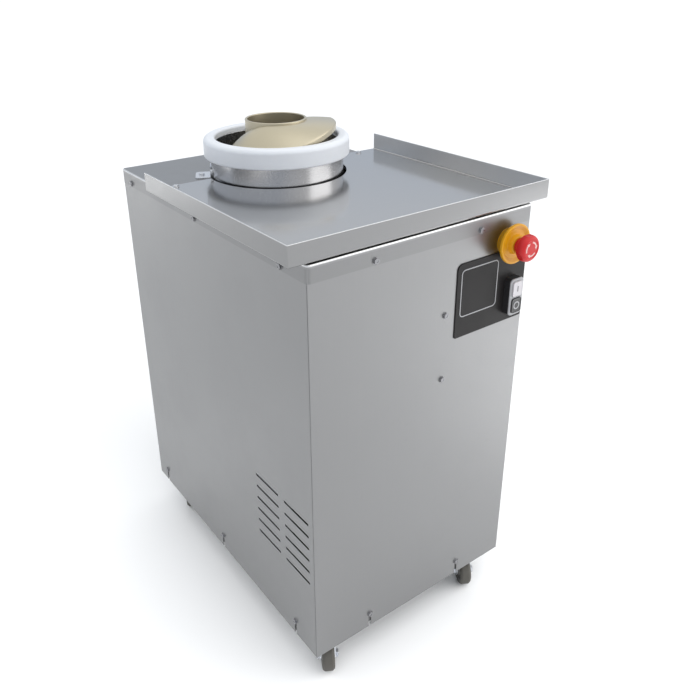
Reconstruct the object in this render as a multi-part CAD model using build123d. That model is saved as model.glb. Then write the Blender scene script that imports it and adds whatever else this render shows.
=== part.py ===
from build123d import *
import os
from math import asin, atan2, ceil, cos, degrees, hypot, pi, radians, sin

# Dough rounder on casters: an auger turning in a fixed drum rolls pieces of dough into balls.
# Frame: X to the right, Y from front to back, Z up, floor at zero. All sizes in millimetres.

# Cabinet
cabinet_width = 400.0
cabinet_depth = 575.0
cabinet_height = 650.0
floor_gap = 60.0
sheet = 1.5
skirt_height = 25.0
bend_radius = 3.0
panel_gap = 0.5

# Welded frame of square tube
tube = 30.0
tube_wall = 2.0
rail_lift = 8.0
gusset_size = 75.0
gusset_thick = 4.0
post_setback = 57.0

# Hexagon-headed screws on the outside
screw_flat = 8.0
screw_height = 3.0
screw_slot = 5.2
top_screw_drop = 19.0
bottom_screw_rise = 26.0
front_screw_spread = 190.0
side_screw_front = 60.0
side_screw_back = 39.0

# Ventilation slots in the side panels
slot_length = 64.0
slot_width = 4.0
slot_pitch = 22.0
slot_rows = 6
slot_columns = 2
slot_column_pitch = 80.0
slot_inset = 12.0
slot_low = 138.0

# Tray on the deck
tray_gap = 3.0
tray_lip = 28.0
tray_overhang = 28.0
tray_front_overhang = 3.0
tray_reach = 402.0
tray_screw_inset = 10.0
tray_screw_front = 40.0
spacer_size = 18.0

# Drum and ring
drum_from_back = 195.0
drum_radius = 111.0
drum_wall = 9.0
drum_depth = 150.0
drum_gap = 5.5
ring_wall = 10.5
ring_rise = 33.0
ring_height = 32.0
ring_cap = 10.0
ring_bevel = 5.5
clip_tray_gap = 12.5
clip_width = 40.0
clip_reach = 27.0
clip_height = 18.0
clip_thick = 2.0
clip_screw_reach = 17.0

# Auger
auger_clearance = 2.0
auger_base_thick = 8.0
collar_radius = 51.0
collar_wall = 4.0
collar_rise = 88.0
hub_radius = 24.0
hub_height = 30.0
flight_pitch = 170.0
flight_thick = 11.0
flight_toe = 0.5
flight_inset = 0.4
flight_exit_angle = -12.0
flight_exit_rise = 80.0
flight_overrun = 101.0
flight_drop = 51.0
flight_drop_turn = 120.0
flight_level_run = 10.0
flight_rim_step = 3.0
flight_bulge = 1.7
flight_bend = 0.55
flight_step = 18.0
window_turn = 110.0
window_lead = 5.0
window_height = 85.0

# Spindle and gear motor
spindle_radius = 15.0
spindle_depth = 90.0
journal_radius = 17.0
drive_square = 20.0
drive_height = 24.0
drive_clearance = 0.15
drive_room = 1.0
shoulder_rise = 1.5
running_gap = 0.05
spindle_plate_thick = 12.0
spindle_plate_reach = 150.0
spindle_plate_gap = 12.0
gearbox_size = 110.0
gearbox_height = 125.0
gearbox_bolt_gap = 3.5
gearbox_flange_margin = 10.0
gearbox_flange_thick = 12.0
motor_radius = 50.0
motor_length = 210.0
motor_flange = 106.0
motor_flange_thick = 10.0
motor_flange_gap = 7.0
terminal_size = 70.0
terminal_depth = 36.0
terminal_lid = 4.0

# Bolts of the gearbox
bolt_flat = 13.0
bolt_height = 5.0

# Controls on the front panel
plate_width = 142.0
plate_height = 116.0
plate_inset = 4.0
plate_drop = 14.0
plate_thick = 1.5
plate_round = 10.0
estop_inset = 48.0
estop_skirt_gap = 3.0
estop_collar_radius = 30.0
estop_collar_foot = 20.0
estop_collar_height = 18.0
estop_collar_rim = 4.0
estop_dish_radius = 27.0
estop_dish_floor = 22.0
estop_dish_depth = 3.0
estop_facets = 36
estop_stem_radius = 10.0
estop_stem_gap = 1.0
estop_head_radius = 20.0
estop_head_height = 18.0
estop_head_bevel = 5.0
estop_head_out = 28.0
estop_travel = 4.5
estop_gap = 0.3
contact_depth = 36.0
contact_width = 30.0
contact_height = 30.0
contact_rail_gap = 1.5
switch_inset = 32.0
switch_drop = 88.4
switch_width = 28.0
switch_height = 59.0
switch_depth = 14.0
switch_bevel = 2.0
switch_boss_wall = 1.7
switch_boss_back = 3.0
button_width = 20.0
button_height = 23.0
button_spacing = 27.0
button_out = 2.5
button_bevel = 1.0
button_travel = 3.0
button_gap = 0.3
panel_cut_gap = 0.2

# Contactor behind the front panel
bracket_plate_gap = 19.0
bracket_width = 30.0
bracket_low_screw = 411.0
bracket_high_screw = 515.6
bracket_margin = 20.0
bracket_thick = 2.0
contactor_width = 45.0
contactor_height = 75.0
contactor_depth = 70.0

# Cable gland on the right panel
gland_inset = 80.0
gland_rise = 70.0
gland_flat = 24.0
gland_hex_height = 6.0
gland_nut_flat = 20.0
gland_nut_height = 12.0

# Casters
caster_inset_x = 49.0
caster_inset_y = 45.0
caster_turn = -30.0
caster_trail = 26.0
caster_plate = 56.0
caster_plate_thick = 3.0
post_radius = 6.0
post_nut_flat = 17.0
post_nut_height = 4.0
swivel_gap = 0.3
wheel_radius = 25.0
wheel_width = 20.0
wheel_bevel = 2.5
wheel_facets = 24
axle_facets = 12
axle_radius = 4.0
axle_head_flat = 12.0
axle_head_height = 4.0
fork_gap = 0.5
fork_thick = 2.5
fork_eye_radius = 8.0
fork_front = 18.0
fork_rear = 12.0
crown_thick = 3.0

# Heights and places worked out from the sizes above
base_z = floor_gap
deck_z = base_z + cabinet_height
half_width = cabinet_width / 2
front_out = estop_head_out + estop_head_height - sheet
rear_out = screw_height - sheet
front = front_out - (front_out + cabinet_depth + rear_out) / 2
back = front + cabinet_depth
panel_x = half_width - sheet
panel_front = front + sheet
panel_back = back - sheet
frame_x = panel_x - sheet
frame_front = panel_front + sheet
frame_back = panel_back - sheet
frame_top = deck_z - sheet
rail_low = base_z + rail_lift
rail_x = frame_x - tube / 2
panel_top = frame_top - bend_radius
tray_floor = deck_z + tray_gap + sheet
drum_y = back - drum_from_back
drum_bore = drum_radius - drum_wall
ring_radius = drum_radius + ring_wall
drum_hole = drum_radius + drum_gap
drum_floor = tray_floor - drum_depth
ring_low = tray_floor + ring_rise
ring_top = ring_low + ring_height
drum_top = ring_top - ring_cap
spindle_plate_low = drum_floor - spindle_plate_thick
gearbox_low = spindle_plate_low - gearbox_height
gearbox_flange_low = spindle_plate_low - gearbox_flange_thick
gearbox_bolt_spread = gearbox_size + 2 * gearbox_bolt_gap + bolt_flat
gearbox_flange = gearbox_bolt_spread + 2 * gearbox_flange_margin
motor_z = gearbox_flange_low - motor_flange_gap - motor_flange / 2
motor_back = drum_y - gearbox_size / 2
motor_front = motor_back - motor_length
terminal_y = motor_front + motor_length / 2
auger_low = drum_floor + shoulder_rise
auger_base_top = auger_low + auger_base_thick
auger_radius = drum_bore - auger_clearance
flight_radius = auger_radius - flight_inset
collar_top = tray_floor + collar_rise
estop_x = half_width - estop_inset
estop_z = deck_z - skirt_height - estop_skirt_gap - estop_collar_foot
estop_bore = estop_stem_radius + running_gap
switch_x = half_width - switch_inset
switch_z = estop_z - switch_drop
boss_x = button_width / 2 + button_gap + switch_boss_wall
boss_z = (button_spacing + button_height) / 2 + button_gap + switch_boss_wall
plate_right = half_width - plate_inset
plate_left = plate_right - plate_width
plate_high = estop_z - plate_drop
plate_low = plate_high - plate_height
bracket_x = plate_left - bracket_plate_gap
contactor_front = frame_front + bracket_thick
contactor_z = base_z + bracket_high_screw
gusset_low = rail_low - gusset_thick
caster_plate_low = gusset_low - caster_plate_thick
crown_top = caster_plate_low - swivel_gap
crown_low = crown_top - crown_thick
fork_inside = wheel_width / 2 + fork_gap
fork_outside = fork_inside + fork_thick
caster_x = half_width - caster_inset_x
caster_places = {
    "front_left": (-caster_x, front + caster_inset_y),
    "front_right": (caster_x, front + caster_inset_y),
    "rear_left": (-caster_x, back - caster_inset_y),
    "rear_right": (caster_x, back - caster_inset_y),
}


def block(x, y, z):
    pairs = (x, y, z)
    middle = [(low + high) / 2 for low, high in pairs]
    size = [high - low for low, high in pairs]
    return Pos(*middle) * Box(*size)


def square(side, low, high, y=0.0):
    return block((-side / 2, side / 2), (y - side / 2, y + side / 2), (low, high))


def upright(radius, low, high, x=0.0, y=0.0):
    return Pos(x, y, (low + high) / 2) * Cylinder(radius, high - low)


def hexagon(flat, low, high):
    outline = RegularPolygon(flat / 2, 6, major_radius=False)
    return Pos(0, 0, low) * extrude(outline, amount=high - low)


def turned(points):
    return revolve(make_face(Plane.XZ * Polyline(*points, close=True)), Axis.Z)


def flat_face(*corners):
    return Face(Wire.make_polygon(corners))


# A solid between sections of equally many corners, with flat triangles for its sides
def skinned(sections):
    faces = [flat_face(*sections[0]), flat_face(*sections[-1])]
    corners = len(sections[0])
    for near, far in zip(sections, sections[1:]):
        for first in range(corners):
            second = (first + 1) % corners
            faces.append(flat_face(near[first], near[second], far[second]))
            faces.append(flat_face(near[first], far[second], far[first]))
    return Solid(Shell(faces))


# A round piece with flat sides, from pairs of radius and height
def many_sided(profile, sides):
    angles = [2 * pi * side / sides for side in range(sides)]
    return skinned([[(r * cos(angle), r * sin(angle), z) for angle in angles] for r, z in profile])


def facing(origin, outward):
    return Plane(origin=origin, z_dir=outward)


def group(shapes):
    return Compound([solid for shape in shapes for solid in shape.solids()])


def save(node, shape):
    export_step(shape, f"parts/{node}.step")


# Screw heads: the point on the sheet and the outward direction

top_screw_z = deck_z - top_screw_drop
bottom_screw_z = base_z + bottom_screw_rise
front_screw_x = (-front_screw_spread / 2, front_screw_spread / 2)
first_side_screw = front + side_screw_front
last_side_screw = back - side_screw_back
side_screw_y = (first_side_screw, (first_side_screw + last_side_screw) / 2, last_side_screw)

skirt_screws = [((x, front, top_screw_z), (0, -1, 0)) for x in front_screw_x]
panel_screws = []
for x in front_screw_x:
    panel_screws.append(((x, panel_front, bottom_screw_z), (0, -1, 0)))
    panel_screws.append(((x, panel_back, bottom_screw_z), (0, 1, 0)))
for side in (-1, 1):
    skirt_screws += [((side * half_width, y, top_screw_z), (side, 0, 0)) for y in side_screw_y]
    panel_screws += [((side * panel_x, y, bottom_screw_z), (side, 0, 0)) for y in side_screw_y]

bracket_screws = []
for rise in (bracket_low_screw, bracket_high_screw):
    bracket_screws.append(((bracket_x, panel_front, base_z + rise), (0, -1, 0)))

tray_screws = []
for y in (front + tray_screw_front, front + tray_reach - tray_screw_inset):
    tray_screws += [((x, y, tray_floor), (0, 0, 1)) for x in (-rail_x, rail_x)]

# The clips stand behind the tray's rear edge, one on each side of the drum
clip_reach_y = front + tray_reach + clip_tray_gap - drum_y
clip_slant = atan2(clip_width / 2, drum_radius)
clip_angle = degrees(clip_slant + asin(clip_reach_y / hypot(drum_radius, clip_width / 2)))
clip_angles = (clip_angle, 180 - clip_angle)
clip_screw_radius = drum_radius + clip_screw_reach
clip_screws = []
for angle in clip_angles:
    clip_screw_x = clip_screw_radius * cos(radians(angle))
    clip_screw_y = drum_y + clip_screw_radius * sin(radians(angle))
    clip_screws.append(((clip_screw_x, clip_screw_y, deck_z + clip_thick), (0, 0, 1)))


def screw_heads(places):
    return group([facing(*place) * hexagon(screw_flat, 0, screw_height) for place in places])


# Frame


def square_tube(length):
    inside = tube - 2 * tube_wall
    return extrude(Rectangle(tube, tube) - Rectangle(inside, inside), amount=length)


def tube_along_y(x, z, low, high):
    return facing((x, low, z), (0, 1, 0)) * square_tube(high - low)


def tube_along_x(y, z, low, high):
    return facing((low, y, z), (1, 0, 0)) * square_tube(high - low)


def rail_ring(z):
    rails = [tube_along_y(x, z, frame_front, frame_back) for x in (-rail_x, rail_x)]
    for y in (frame_front + tube / 2, frame_back - tube / 2):
        rails.append(tube_along_x(y, z, tube - frame_x, frame_x - tube))
    return group(rails)


def make_posts():
    low = rail_low + tube
    posts = []
    for x in (-rail_x, rail_x):
        for y in (frame_front + post_setback + tube / 2, frame_back - tube / 2):
            posts.append(Pos(x, y, low) * square_tube(frame_top - tube - low))
    return group(posts)


def make_mid_rails():
    ends = (frame_front + post_setback + tube, frame_back - tube)
    return group([tube_along_y(x, spindle_plate_low - tube / 2, *ends) for x in (-rail_x, rail_x)])


def make_gussets():
    gussets = []
    for x, y in caster_places.values():
        side_x = 1 if x > 0 else -1
        side_y = 1 if y > 0 else -1
        outer_x = side_x * frame_x
        outer_y = frame_back if side_y > 0 else frame_front
        reach_x = sorted((outer_x, outer_x - side_x * gusset_size))
        reach_y = sorted((outer_y, outer_y - side_y * gusset_size))
        gussets.append(block(reach_x, reach_y, (gusset_low, rail_low)))
    return group(gussets)


# Panels, deck and tray


def bottom_slots(outward):
    slots = []
    for (x, y, z), direction in panel_screws:
        if direction == outward:
            reach_x = (x - screw_slot / 2, x + screw_slot / 2)
            reach_y = (y - screw_slot / 2, y + screw_slot / 2)
            slots.append(block(reach_x, reach_y, (base_z, z)))
    return slots


def make_front_panel():
    panel = block((-panel_x, panel_x), (panel_front, frame_front), (base_z, panel_top))
    panel -= bottom_slots((0, -1, 0))
    panel -= estop_face * upright(estop_stem_radius + estop_stem_gap, -sheet, 0)
    return panel - switch_cut()


def make_back_panel():
    panel = block((-panel_x, panel_x), (frame_back, panel_back), (base_z, panel_top))
    return panel - bottom_slots((0, 1, 0))


def vent_slots(reach_x):
    slots = []
    for row in range(slot_rows):
        for column in range(slot_columns):
            low_y = frame_front + slot_inset + column * slot_column_pitch
            low_z = base_z + slot_low + row * slot_pitch
            slots.append(block(reach_x, (low_y, low_y + slot_length), (low_z, low_z + slot_width)))
    return slots


def make_side_panel(side):
    reach_x = sorted((side * frame_x, side * panel_x))
    reach_y = (frame_front + panel_gap, frame_back - panel_gap)
    panel = block(reach_x, reach_y, (base_z, panel_top))
    return panel - bottom_slots((side, 0, 0)) - vent_slots(reach_x)


def make_deck():
    low = deck_z - skirt_height
    deck = block((-half_width, half_width), (front, back), (low, deck_z))
    deck = fillet(deck.edges().group_by(Axis.Z)[-1], bend_radius)
    deck -= block((-panel_x, panel_x), (panel_front, panel_back), (low, frame_top))
    return deck - upright(drum_hole, low, deck_z, 0, drum_y)


def make_tray():
    half = half_width + tray_overhang
    low_y = front - tray_front_overhang
    high_y = front + tray_reach
    low_z = tray_floor - sheet
    high_z = tray_floor + tray_lip
    tray = block((-half, half), (low_y, high_y), (low_z, high_z))
    folds = tray.edges().group_by(Axis.Z)[0]
    tray = fillet(folds.sort_by(Axis.Y)[:-1], bend_radius)
    tray -= block((sheet - half, half - sheet), (low_y + sheet, high_y), (tray_floor, high_z))
    return tray - upright(drum_hole, low_z, high_z, 0, drum_y)


def make_tray_spacers():
    pads = []
    for (x, y, z), outward in tray_screws:
        pads.append(Pos(x, y, 0) * square(spacer_size, deck_z, deck_z + tray_gap))
    return group(pads)


# Drum, ring and auger


def make_drum():
    shell = upright(drum_radius, drum_floor, drum_top, 0, drum_y)
    return shell - upright(drum_bore, drum_floor, drum_top, 0, drum_y)


def make_drum_ring():
    ring = turned(
        [
            (drum_bore, drum_top),
            (drum_bore, ring_top),
            (ring_radius - ring_bevel, ring_top),
            (ring_radius, ring_top - ring_bevel),
            (ring_radius, ring_low),
            (drum_radius, ring_low),
            (drum_radius, drum_top),
        ]
    )
    return Pos(0, drum_y, 0) * ring


def make_drum_clips():
    width = (-clip_width / 2, clip_width / 2)
    inside = drum_radius - clip_reach
    foot = block((inside, drum_radius + clip_reach), width, (0, clip_thick))
    tab = block((inside, drum_radius + clip_thick), width, (0, clip_height))
    clip = foot + tab - upright(drum_radius, 0, clip_height)
    return group([Pos(0, drum_y, deck_z) * Rot(0, 0, angle) * clip for angle in clip_angles])


def levelled(height, top):
    over = top + flight_level_run - height
    if over <= 0:
        return top
    if over >= 2 * flight_level_run:
        return height
    return top - over**2 / (4 * flight_level_run)


flight_start = auger_base_top + flight_toe
flight_turn = (tray_floor + flight_overrun - flight_start) / flight_pitch * 360
flight_first_angle = flight_exit_angle - flight_turn


def flight_corners(turn):
    ramp = flight_start + flight_pitch * turn / 360
    lift = flight_drop * sin(radians(90 * min(1, turn / flight_drop_turn)))
    outer = levelled(ramp, tray_floor + flight_exit_rise)
    inner = levelled(ramp + lift, collar_top - flight_rim_step)
    root = collar_radius - collar_wall / 2
    lowest = auger_low + auger_base_thick / 2
    top = []
    for share in (0, flight_bend, 1):
        radius = root + (flight_radius - root) * share
        top.append((radius, inner + (outer - inner) * share**flight_bulge))
    section = top + [(radius, max(z - flight_thick, lowest)) for radius, z in reversed(top)]
    direction = radians(flight_first_angle + turn)
    return [(radius * cos(direction), radius * sin(direction), z) for radius, z in section]


# The flight is a twisted ramp with a bulging top, faceted every few degrees
def make_flight():
    steps = ceil(flight_turn / flight_step)
    return skinned([flight_corners(flight_turn * step / steps) for step in range(steps + 1)])


def window_cut():
    reach = 2 * collar_radius
    first = flight_first_angle - window_lead - window_turn
    corners = [(0, 0)]
    for angle in (first, first + window_turn / 2, first + window_turn):
        corners.append((reach * cos(radians(angle)), reach * sin(radians(angle))))
    sector = make_face(Polyline(*corners, close=True))
    return Pos(0, 0, auger_base_top) * extrude(sector, amount=window_height)


def make_auger():
    collar = upright(collar_radius, auger_base_top, collar_top)
    collar -= upright(collar_radius - collar_wall, auger_base_top, collar_top)
    collar -= window_cut()
    hub_top = auger_base_top + hub_height
    hub = turned(
        [
            (0, auger_low),
            (auger_radius, auger_low),
            (auger_radius, auger_base_top),
            (hub_radius, auger_base_top),
            (hub_radius, hub_top),
            (0, hub_top),
        ]
    )
    socket = square(drive_square + 2 * drive_clearance, auger_low, auger_low + drive_height + drive_room)
    return Pos(0, drum_y, 0) * (hub + collar + make_flight() - socket)


# Spindle and gear motor


def make_spindle():
    low = spindle_plate_low - spindle_depth
    spindle = upright(spindle_radius, low, spindle_plate_low)
    spindle += upright(journal_radius, spindle_plate_low, auger_low)
    return Pos(0, drum_y, 0) * (spindle + square(drive_square, auger_low, auger_low + drive_height))


def make_spindle_plate():
    reach = (drum_y - spindle_plate_reach, frame_back - tube - spindle_plate_gap)
    plate = block((-frame_x, frame_x), reach, (spindle_plate_low, drum_floor))
    return plate - upright(journal_radius + running_gap, spindle_plate_low, drum_floor, 0, drum_y)


def make_gearbox():
    gearbox = square(gearbox_size, gearbox_low, gearbox_flange_low, drum_y)
    gearbox += square(gearbox_flange, gearbox_flange_low, spindle_plate_low, drum_y)
    bore_low = spindle_plate_low - spindle_depth
    return gearbox - upright(spindle_radius + running_gap, bore_low, spindle_plate_low, 0, drum_y)


def make_gearbox_bolts():
    bolt = hexagon(bolt_flat, gearbox_flange_low - bolt_height, gearbox_flange_low)
    reach = gearbox_bolt_spread / 2
    return group([Pos(x, drum_y + y, 0) * bolt for x in (-reach, reach) for y in (-reach, reach)])


def make_motor():
    half = motor_flange / 2
    flange_front = motor_back - motor_flange_thick
    motor = block((-half, half), (flange_front, motor_back), (motor_z - half, motor_z + half))
    return motor + facing((0, motor_front, motor_z), (0, 1, 0)) * upright(motor_radius, 0, motor_length)


def make_terminal_box():
    half = terminal_size / 2
    reach_y = (terminal_y - half, terminal_y + half)
    box = block((0, motor_radius + terminal_depth), reach_y, (motor_z - half, motor_z + half))
    return box - facing((0, motor_front, motor_z), (0, 1, 0)) * upright(motor_radius, 0, motor_length)


def make_terminal_lid():
    half = terminal_size / 2
    low = motor_radius + terminal_depth
    reach_y = (terminal_y - half, terminal_y + half)
    return block((low, low + terminal_lid), reach_y, (motor_z - half, motor_z + half))


# Controls: in these planes X is to the right, Y is up and Z is the height above the panel

estop_face = Plane(origin=(estop_x, panel_front, estop_z), x_dir=(1, 0, 0), z_dir=(0, -1, 0))
switch_face = Plane(origin=(switch_x, panel_front, switch_z), x_dir=(1, 0, 0), z_dir=(0, -1, 0))
button_centres = {"start_button": button_spacing / 2, "stop_button": -button_spacing / 2}


def switch_cut():
    half_x = boss_x + panel_cut_gap
    half_z = boss_z + panel_cut_gap
    return switch_face * block((-half_x, half_x), (-half_z, half_z), (-sheet, plate_thick))


def make_control_plate():
    low = panel_front - plate_thick
    plate = block((plate_left, plate_right), (low, panel_front), (plate_low, plate_high))
    corners = plate.edges().filter_by(Axis.Y).sort_by(Axis.X)[:2]
    plate = fillet(corners.sort_by(Axis.Z)[-1], plate_round)
    plate -= estop_face * upright(estop_collar_foot + estop_gap, 0, plate_thick)
    return plate - switch_cut()


def make_estop_collar():
    rim_low = estop_collar_height - estop_collar_rim
    dish_low = estop_collar_height - estop_dish_depth
    profile = [(estop_collar_foot, 0), (estop_collar_foot, plate_thick)]
    profile += [(estop_collar_radius, rim_low), (estop_collar_radius, estop_collar_height)]
    dish = [(estop_dish_floor, dish_low), (estop_dish_radius, estop_collar_height)]
    collar = many_sided(profile, estop_facets) - many_sided(dish, estop_facets)
    return estop_face * (collar - upright(estop_bore, 0, estop_collar_height))


def make_estop_contacts():
    half_x = contact_width / 2
    reach_z = (-contact_height / 2, frame_top - tube - contact_rail_gap - estop_z)
    return estop_face * block((-half_x, half_x), reach_z, (-sheet - contact_depth, -sheet))


def make_estop_stem():
    low = estop_travel + estop_gap - sheet
    profile = [(estop_stem_radius, low), (estop_stem_radius, estop_head_out)]
    return estop_face * many_sided(profile, estop_facets)


def make_estop_head():
    crown = estop_head_out + estop_head_height
    profile = [(estop_head_radius, estop_head_out), (estop_head_radius, crown - estop_head_bevel)]
    profile.append((estop_head_radius - estop_head_bevel, crown))
    return estop_face * many_sided(profile, estop_facets)


def make_switch_housing():
    half_x = switch_width / 2
    half_z = switch_height / 2
    housing = block((-half_x, half_x), (-half_z, half_z), (plate_thick, switch_depth))
    housing = chamfer(housing.edges().group_by(Axis.Z)[-1], switch_bevel)
    housing += block((-boss_x, boss_x), (-boss_z, boss_z), (-switch_boss_back, plate_thick))
    reach_x = button_width / 2 + button_gap
    reach_z = button_height / 2 + button_gap
    for centre in button_centres.values():
        pocket = (-reach_x, reach_x), (centre - reach_z, centre + reach_z)
        housing -= block(*pocket, (-switch_boss_back, switch_depth))
    return switch_face * housing


def make_button(centre):
    low = button_travel + button_gap - switch_boss_back
    half_x = button_width / 2
    reach_z = (centre - button_height / 2, centre + button_height / 2)
    button = block((-half_x, half_x), reach_z, (low, switch_depth + button_out))
    return switch_face * chamfer(button.edges().group_by(Axis.Z)[-1], button_bevel)


def make_switch_contacts():
    half_x = switch_width / 2
    half_z = switch_height / 2
    reach = (-switch_boss_back - contact_depth, -switch_boss_back)
    return switch_face * block((-half_x, half_x), (-half_z, half_z), reach)


def make_contactor_bracket():
    half = bracket_width / 2
    low = base_z + bracket_low_screw - bracket_margin
    high = base_z + bracket_high_screw + bracket_margin
    return block((bracket_x - half, bracket_x + half), (frame_front, contactor_front), (low, high))


def make_contactor():
    half = contactor_width / 2
    reach = (contactor_front, contactor_front + contactor_depth)
    reach_z = (contactor_z - contactor_height / 2, contactor_z + contactor_height / 2)
    return block((bracket_x - half, bracket_x + half), reach, reach_z)


def make_cable_gland():
    gland = hexagon(gland_flat, 0, gland_hex_height)
    gland += hexagon(gland_nut_flat, gland_hex_height, gland_hex_height + gland_nut_height)
    return facing((panel_x, back - gland_inset, base_z + gland_rise), (1, 0, 0)) * gland


# Casters: made at the swivel axis with the wheel trailing to the front, then turned and set in place


def at_caster(place, shape):
    return Pos(*place, 0) * Rot(0, 0, caster_turn) * shape


def make_caster_plate():
    nut_top = crown_low - swivel_gap
    plate = square(caster_plate, caster_plate_low, gusset_low)
    post = many_sided([(post_radius, nut_top), (post_radius, caster_plate_low)], axle_facets)
    plate = Rot(0, 0, -caster_turn) * plate + post
    return plate + hexagon(post_nut_flat, nut_top - post_nut_height, nut_top)


def make_fork():
    outline = Polyline(
        (fork_rear, crown_top),
        (fork_eye_radius - caster_trail, wheel_radius),
        (fork_eye_radius / 2 - caster_trail, wheel_radius - fork_eye_radius),
        (-fork_eye_radius / 2 - caster_trail, wheel_radius - fork_eye_radius),
        (-fork_eye_radius - caster_trail, wheel_radius),
        (-fork_front, crown_top),
        close=True,
    )
    leg = extrude(Plane.YZ * make_face(outline), amount=fork_thick)
    fork = Pos(fork_inside, 0, 0) * leg + Pos(-fork_outside, 0, 0) * leg
    fork += block((-fork_outside, fork_outside), (-fork_front, fork_rear), (crown_low, crown_top))
    axle = many_sided([(axle_radius, -fork_inside), (axle_radius, fork_inside)], axle_facets)
    for end in (fork_outside, -fork_outside - axle_head_height):
        axle += hexagon(axle_head_flat, end, end + axle_head_height)
    fork += Pos(0, -caster_trail, wheel_radius) * Rot(0, 90, 0) * axle
    return fork - upright(post_radius + running_gap, crown_low, crown_top)


def make_wheel():
    half = wheel_width / 2
    shoulder = wheel_radius - wheel_bevel
    profile = [(shoulder, -half), (wheel_radius, wheel_bevel - half)]
    profile += [(wheel_radius, half - wheel_bevel), (shoulder, half)]
    wheel = many_sided(profile, wheel_facets) - upright(axle_radius + running_gap, -half, half)
    return Pos(0, -caster_trail, wheel_radius) * Rot(0, 90, 0) * wheel


os.makedirs("parts", exist_ok=True)

save("base_rails", rail_ring(rail_low + tube / 2))
save("upper_frame", group([rail_ring(frame_top - tube / 2), make_posts(), make_mid_rails()]))
save("caster_gussets", make_gussets())
save("front_panel", make_front_panel())
save("back_panel", make_back_panel())
save("left_panel", make_side_panel(-1))
save("right_panel", make_side_panel(1))
save("top_deck", make_deck())
save("ball_tray", make_tray())
save("tray_spacers", make_tray_spacers())
save("cabinet_screws", screw_heads(skirt_screws + panel_screws + bracket_screws))
save("tray_screws", screw_heads(tray_screws + clip_screws))
save("drum", make_drum())
save("drum_ring", make_drum_ring())
save("drum_clips", make_drum_clips())
save("auger", make_auger())
save("spindle", make_spindle())
save("spindle_plate", make_spindle_plate())
save("gearbox", make_gearbox())
save("gearbox_bolts", make_gearbox_bolts())
save("gear_motor", make_motor())
save("terminal_box", make_terminal_box())
save("terminal_lid", make_terminal_lid())
save("control_plate", make_control_plate())
save("estop_collar", make_estop_collar())
save("estop_contacts", make_estop_contacts())
save("estop_stem", make_estop_stem())
save("estop_head", make_estop_head())
save("switch_housing", make_switch_housing())
save("switch_contacts", make_switch_contacts())
for button_name, button_centre in button_centres.items():
    save(button_name, make_button(button_centre))
save("contactor_bracket", make_contactor_bracket())
save("contactor", make_contactor())
save("cable_gland", make_cable_gland())
save("caster_plates", group([at_caster(place, make_caster_plate()) for place in caster_places.values()]))
for caster_name, caster_place in caster_places.items():
    save(f"{caster_name}_fork", at_caster(caster_place, make_fork()))
    save(f"{caster_name}_wheel", at_caster(caster_place, make_wheel()))
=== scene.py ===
import bpy
from math import acos, atan2, cos, hypot, pi, radians, sin, tan
from mathutils import Matrix, Vector


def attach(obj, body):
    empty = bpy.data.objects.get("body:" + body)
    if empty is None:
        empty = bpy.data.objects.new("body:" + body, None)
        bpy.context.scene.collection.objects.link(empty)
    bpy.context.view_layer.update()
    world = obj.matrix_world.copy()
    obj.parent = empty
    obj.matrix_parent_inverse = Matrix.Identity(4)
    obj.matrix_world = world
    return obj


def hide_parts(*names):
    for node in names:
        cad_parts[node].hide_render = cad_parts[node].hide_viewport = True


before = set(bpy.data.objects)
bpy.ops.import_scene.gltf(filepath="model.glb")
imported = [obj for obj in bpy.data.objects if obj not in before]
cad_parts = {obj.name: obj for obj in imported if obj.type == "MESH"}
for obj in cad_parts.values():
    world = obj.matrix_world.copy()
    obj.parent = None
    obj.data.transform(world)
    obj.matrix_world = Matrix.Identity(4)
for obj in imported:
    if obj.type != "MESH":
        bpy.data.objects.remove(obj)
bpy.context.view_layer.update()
mm = 0.001  # sizes below are in millimetres
reach = 5.0  # how far a cutter goes past what it cuts
near = 0.1  # how close to a level an edge lies when it is picked
straight = 0.9  # how far a direction lies along an axis when it is picked
largeSides = 160  # sides of the large round pieces

# machine: places that several pieces share
machine = {
    "front": -266.0, "back": 309.0, "halfWidth": 200.0, "sheet": 1.5,
    "bottom": 60.0, "deck": 710.0, "skirt": 25.0, "panelTop": 705.5,
    "trayFloor": 714.5, "drumY": 114.0, "drumHole": 116.5,
}
wall, drumY, trayFloor = machine["sheet"], machine["drumY"], machine["trayFloor"]
panelFront = machine["front"] + wall
panelBack = machine["back"] - wall
panelX = machine["halfWidth"] - wall


# selecting and placing, as by hand
def leaveEdit():
    bpy.ops.object.mode_set(mode="OBJECT")


def clearSelection():
    if bpy.context.mode != "OBJECT":
        leaveEdit()
    bpy.ops.object.select_all(action="DESELECT")


def pick(piece):
    clearSelection()
    piece.select_set(True)
    bpy.context.view_layer.objects.active = piece


def editAll(piece):
    pick(piece)
    bpy.ops.object.mode_set(mode="EDIT")
    bpy.ops.mesh.select_all(action="SELECT")


def editChosen(piece, kind, test):
    # kind is VERT, EDGE or FACE; test gets the middle in millimetres and the direction
    editAll(piece)
    bpy.ops.mesh.select_mode(type=kind)
    bpy.ops.mesh.select_all(action="DESELECT")
    leaveEdit()
    mesh = piece.data
    if kind == "FACE":
        for face in mesh.polygons:
            face.select = test(face.center / mm, face.normal)
    elif kind == "EDGE":
        for edge in mesh.edges:
            one, two = (mesh.vertices[index].co / mm for index in edge.vertices)
            edge.select = test((one + two) / 2, (two - one).normalized())
    else:
        for vertex in mesh.vertices:
            vertex.select = test(vertex.co / mm, None)
    bpy.ops.object.mode_set(mode="EDIT")


def named(piece, name):
    piece.name = name
    piece.data.name = name
    return piece


def settle(piece):
    pick(piece)
    bpy.ops.object.transform_apply(location=True, rotation=True, scale=True)
    return piece


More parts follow.
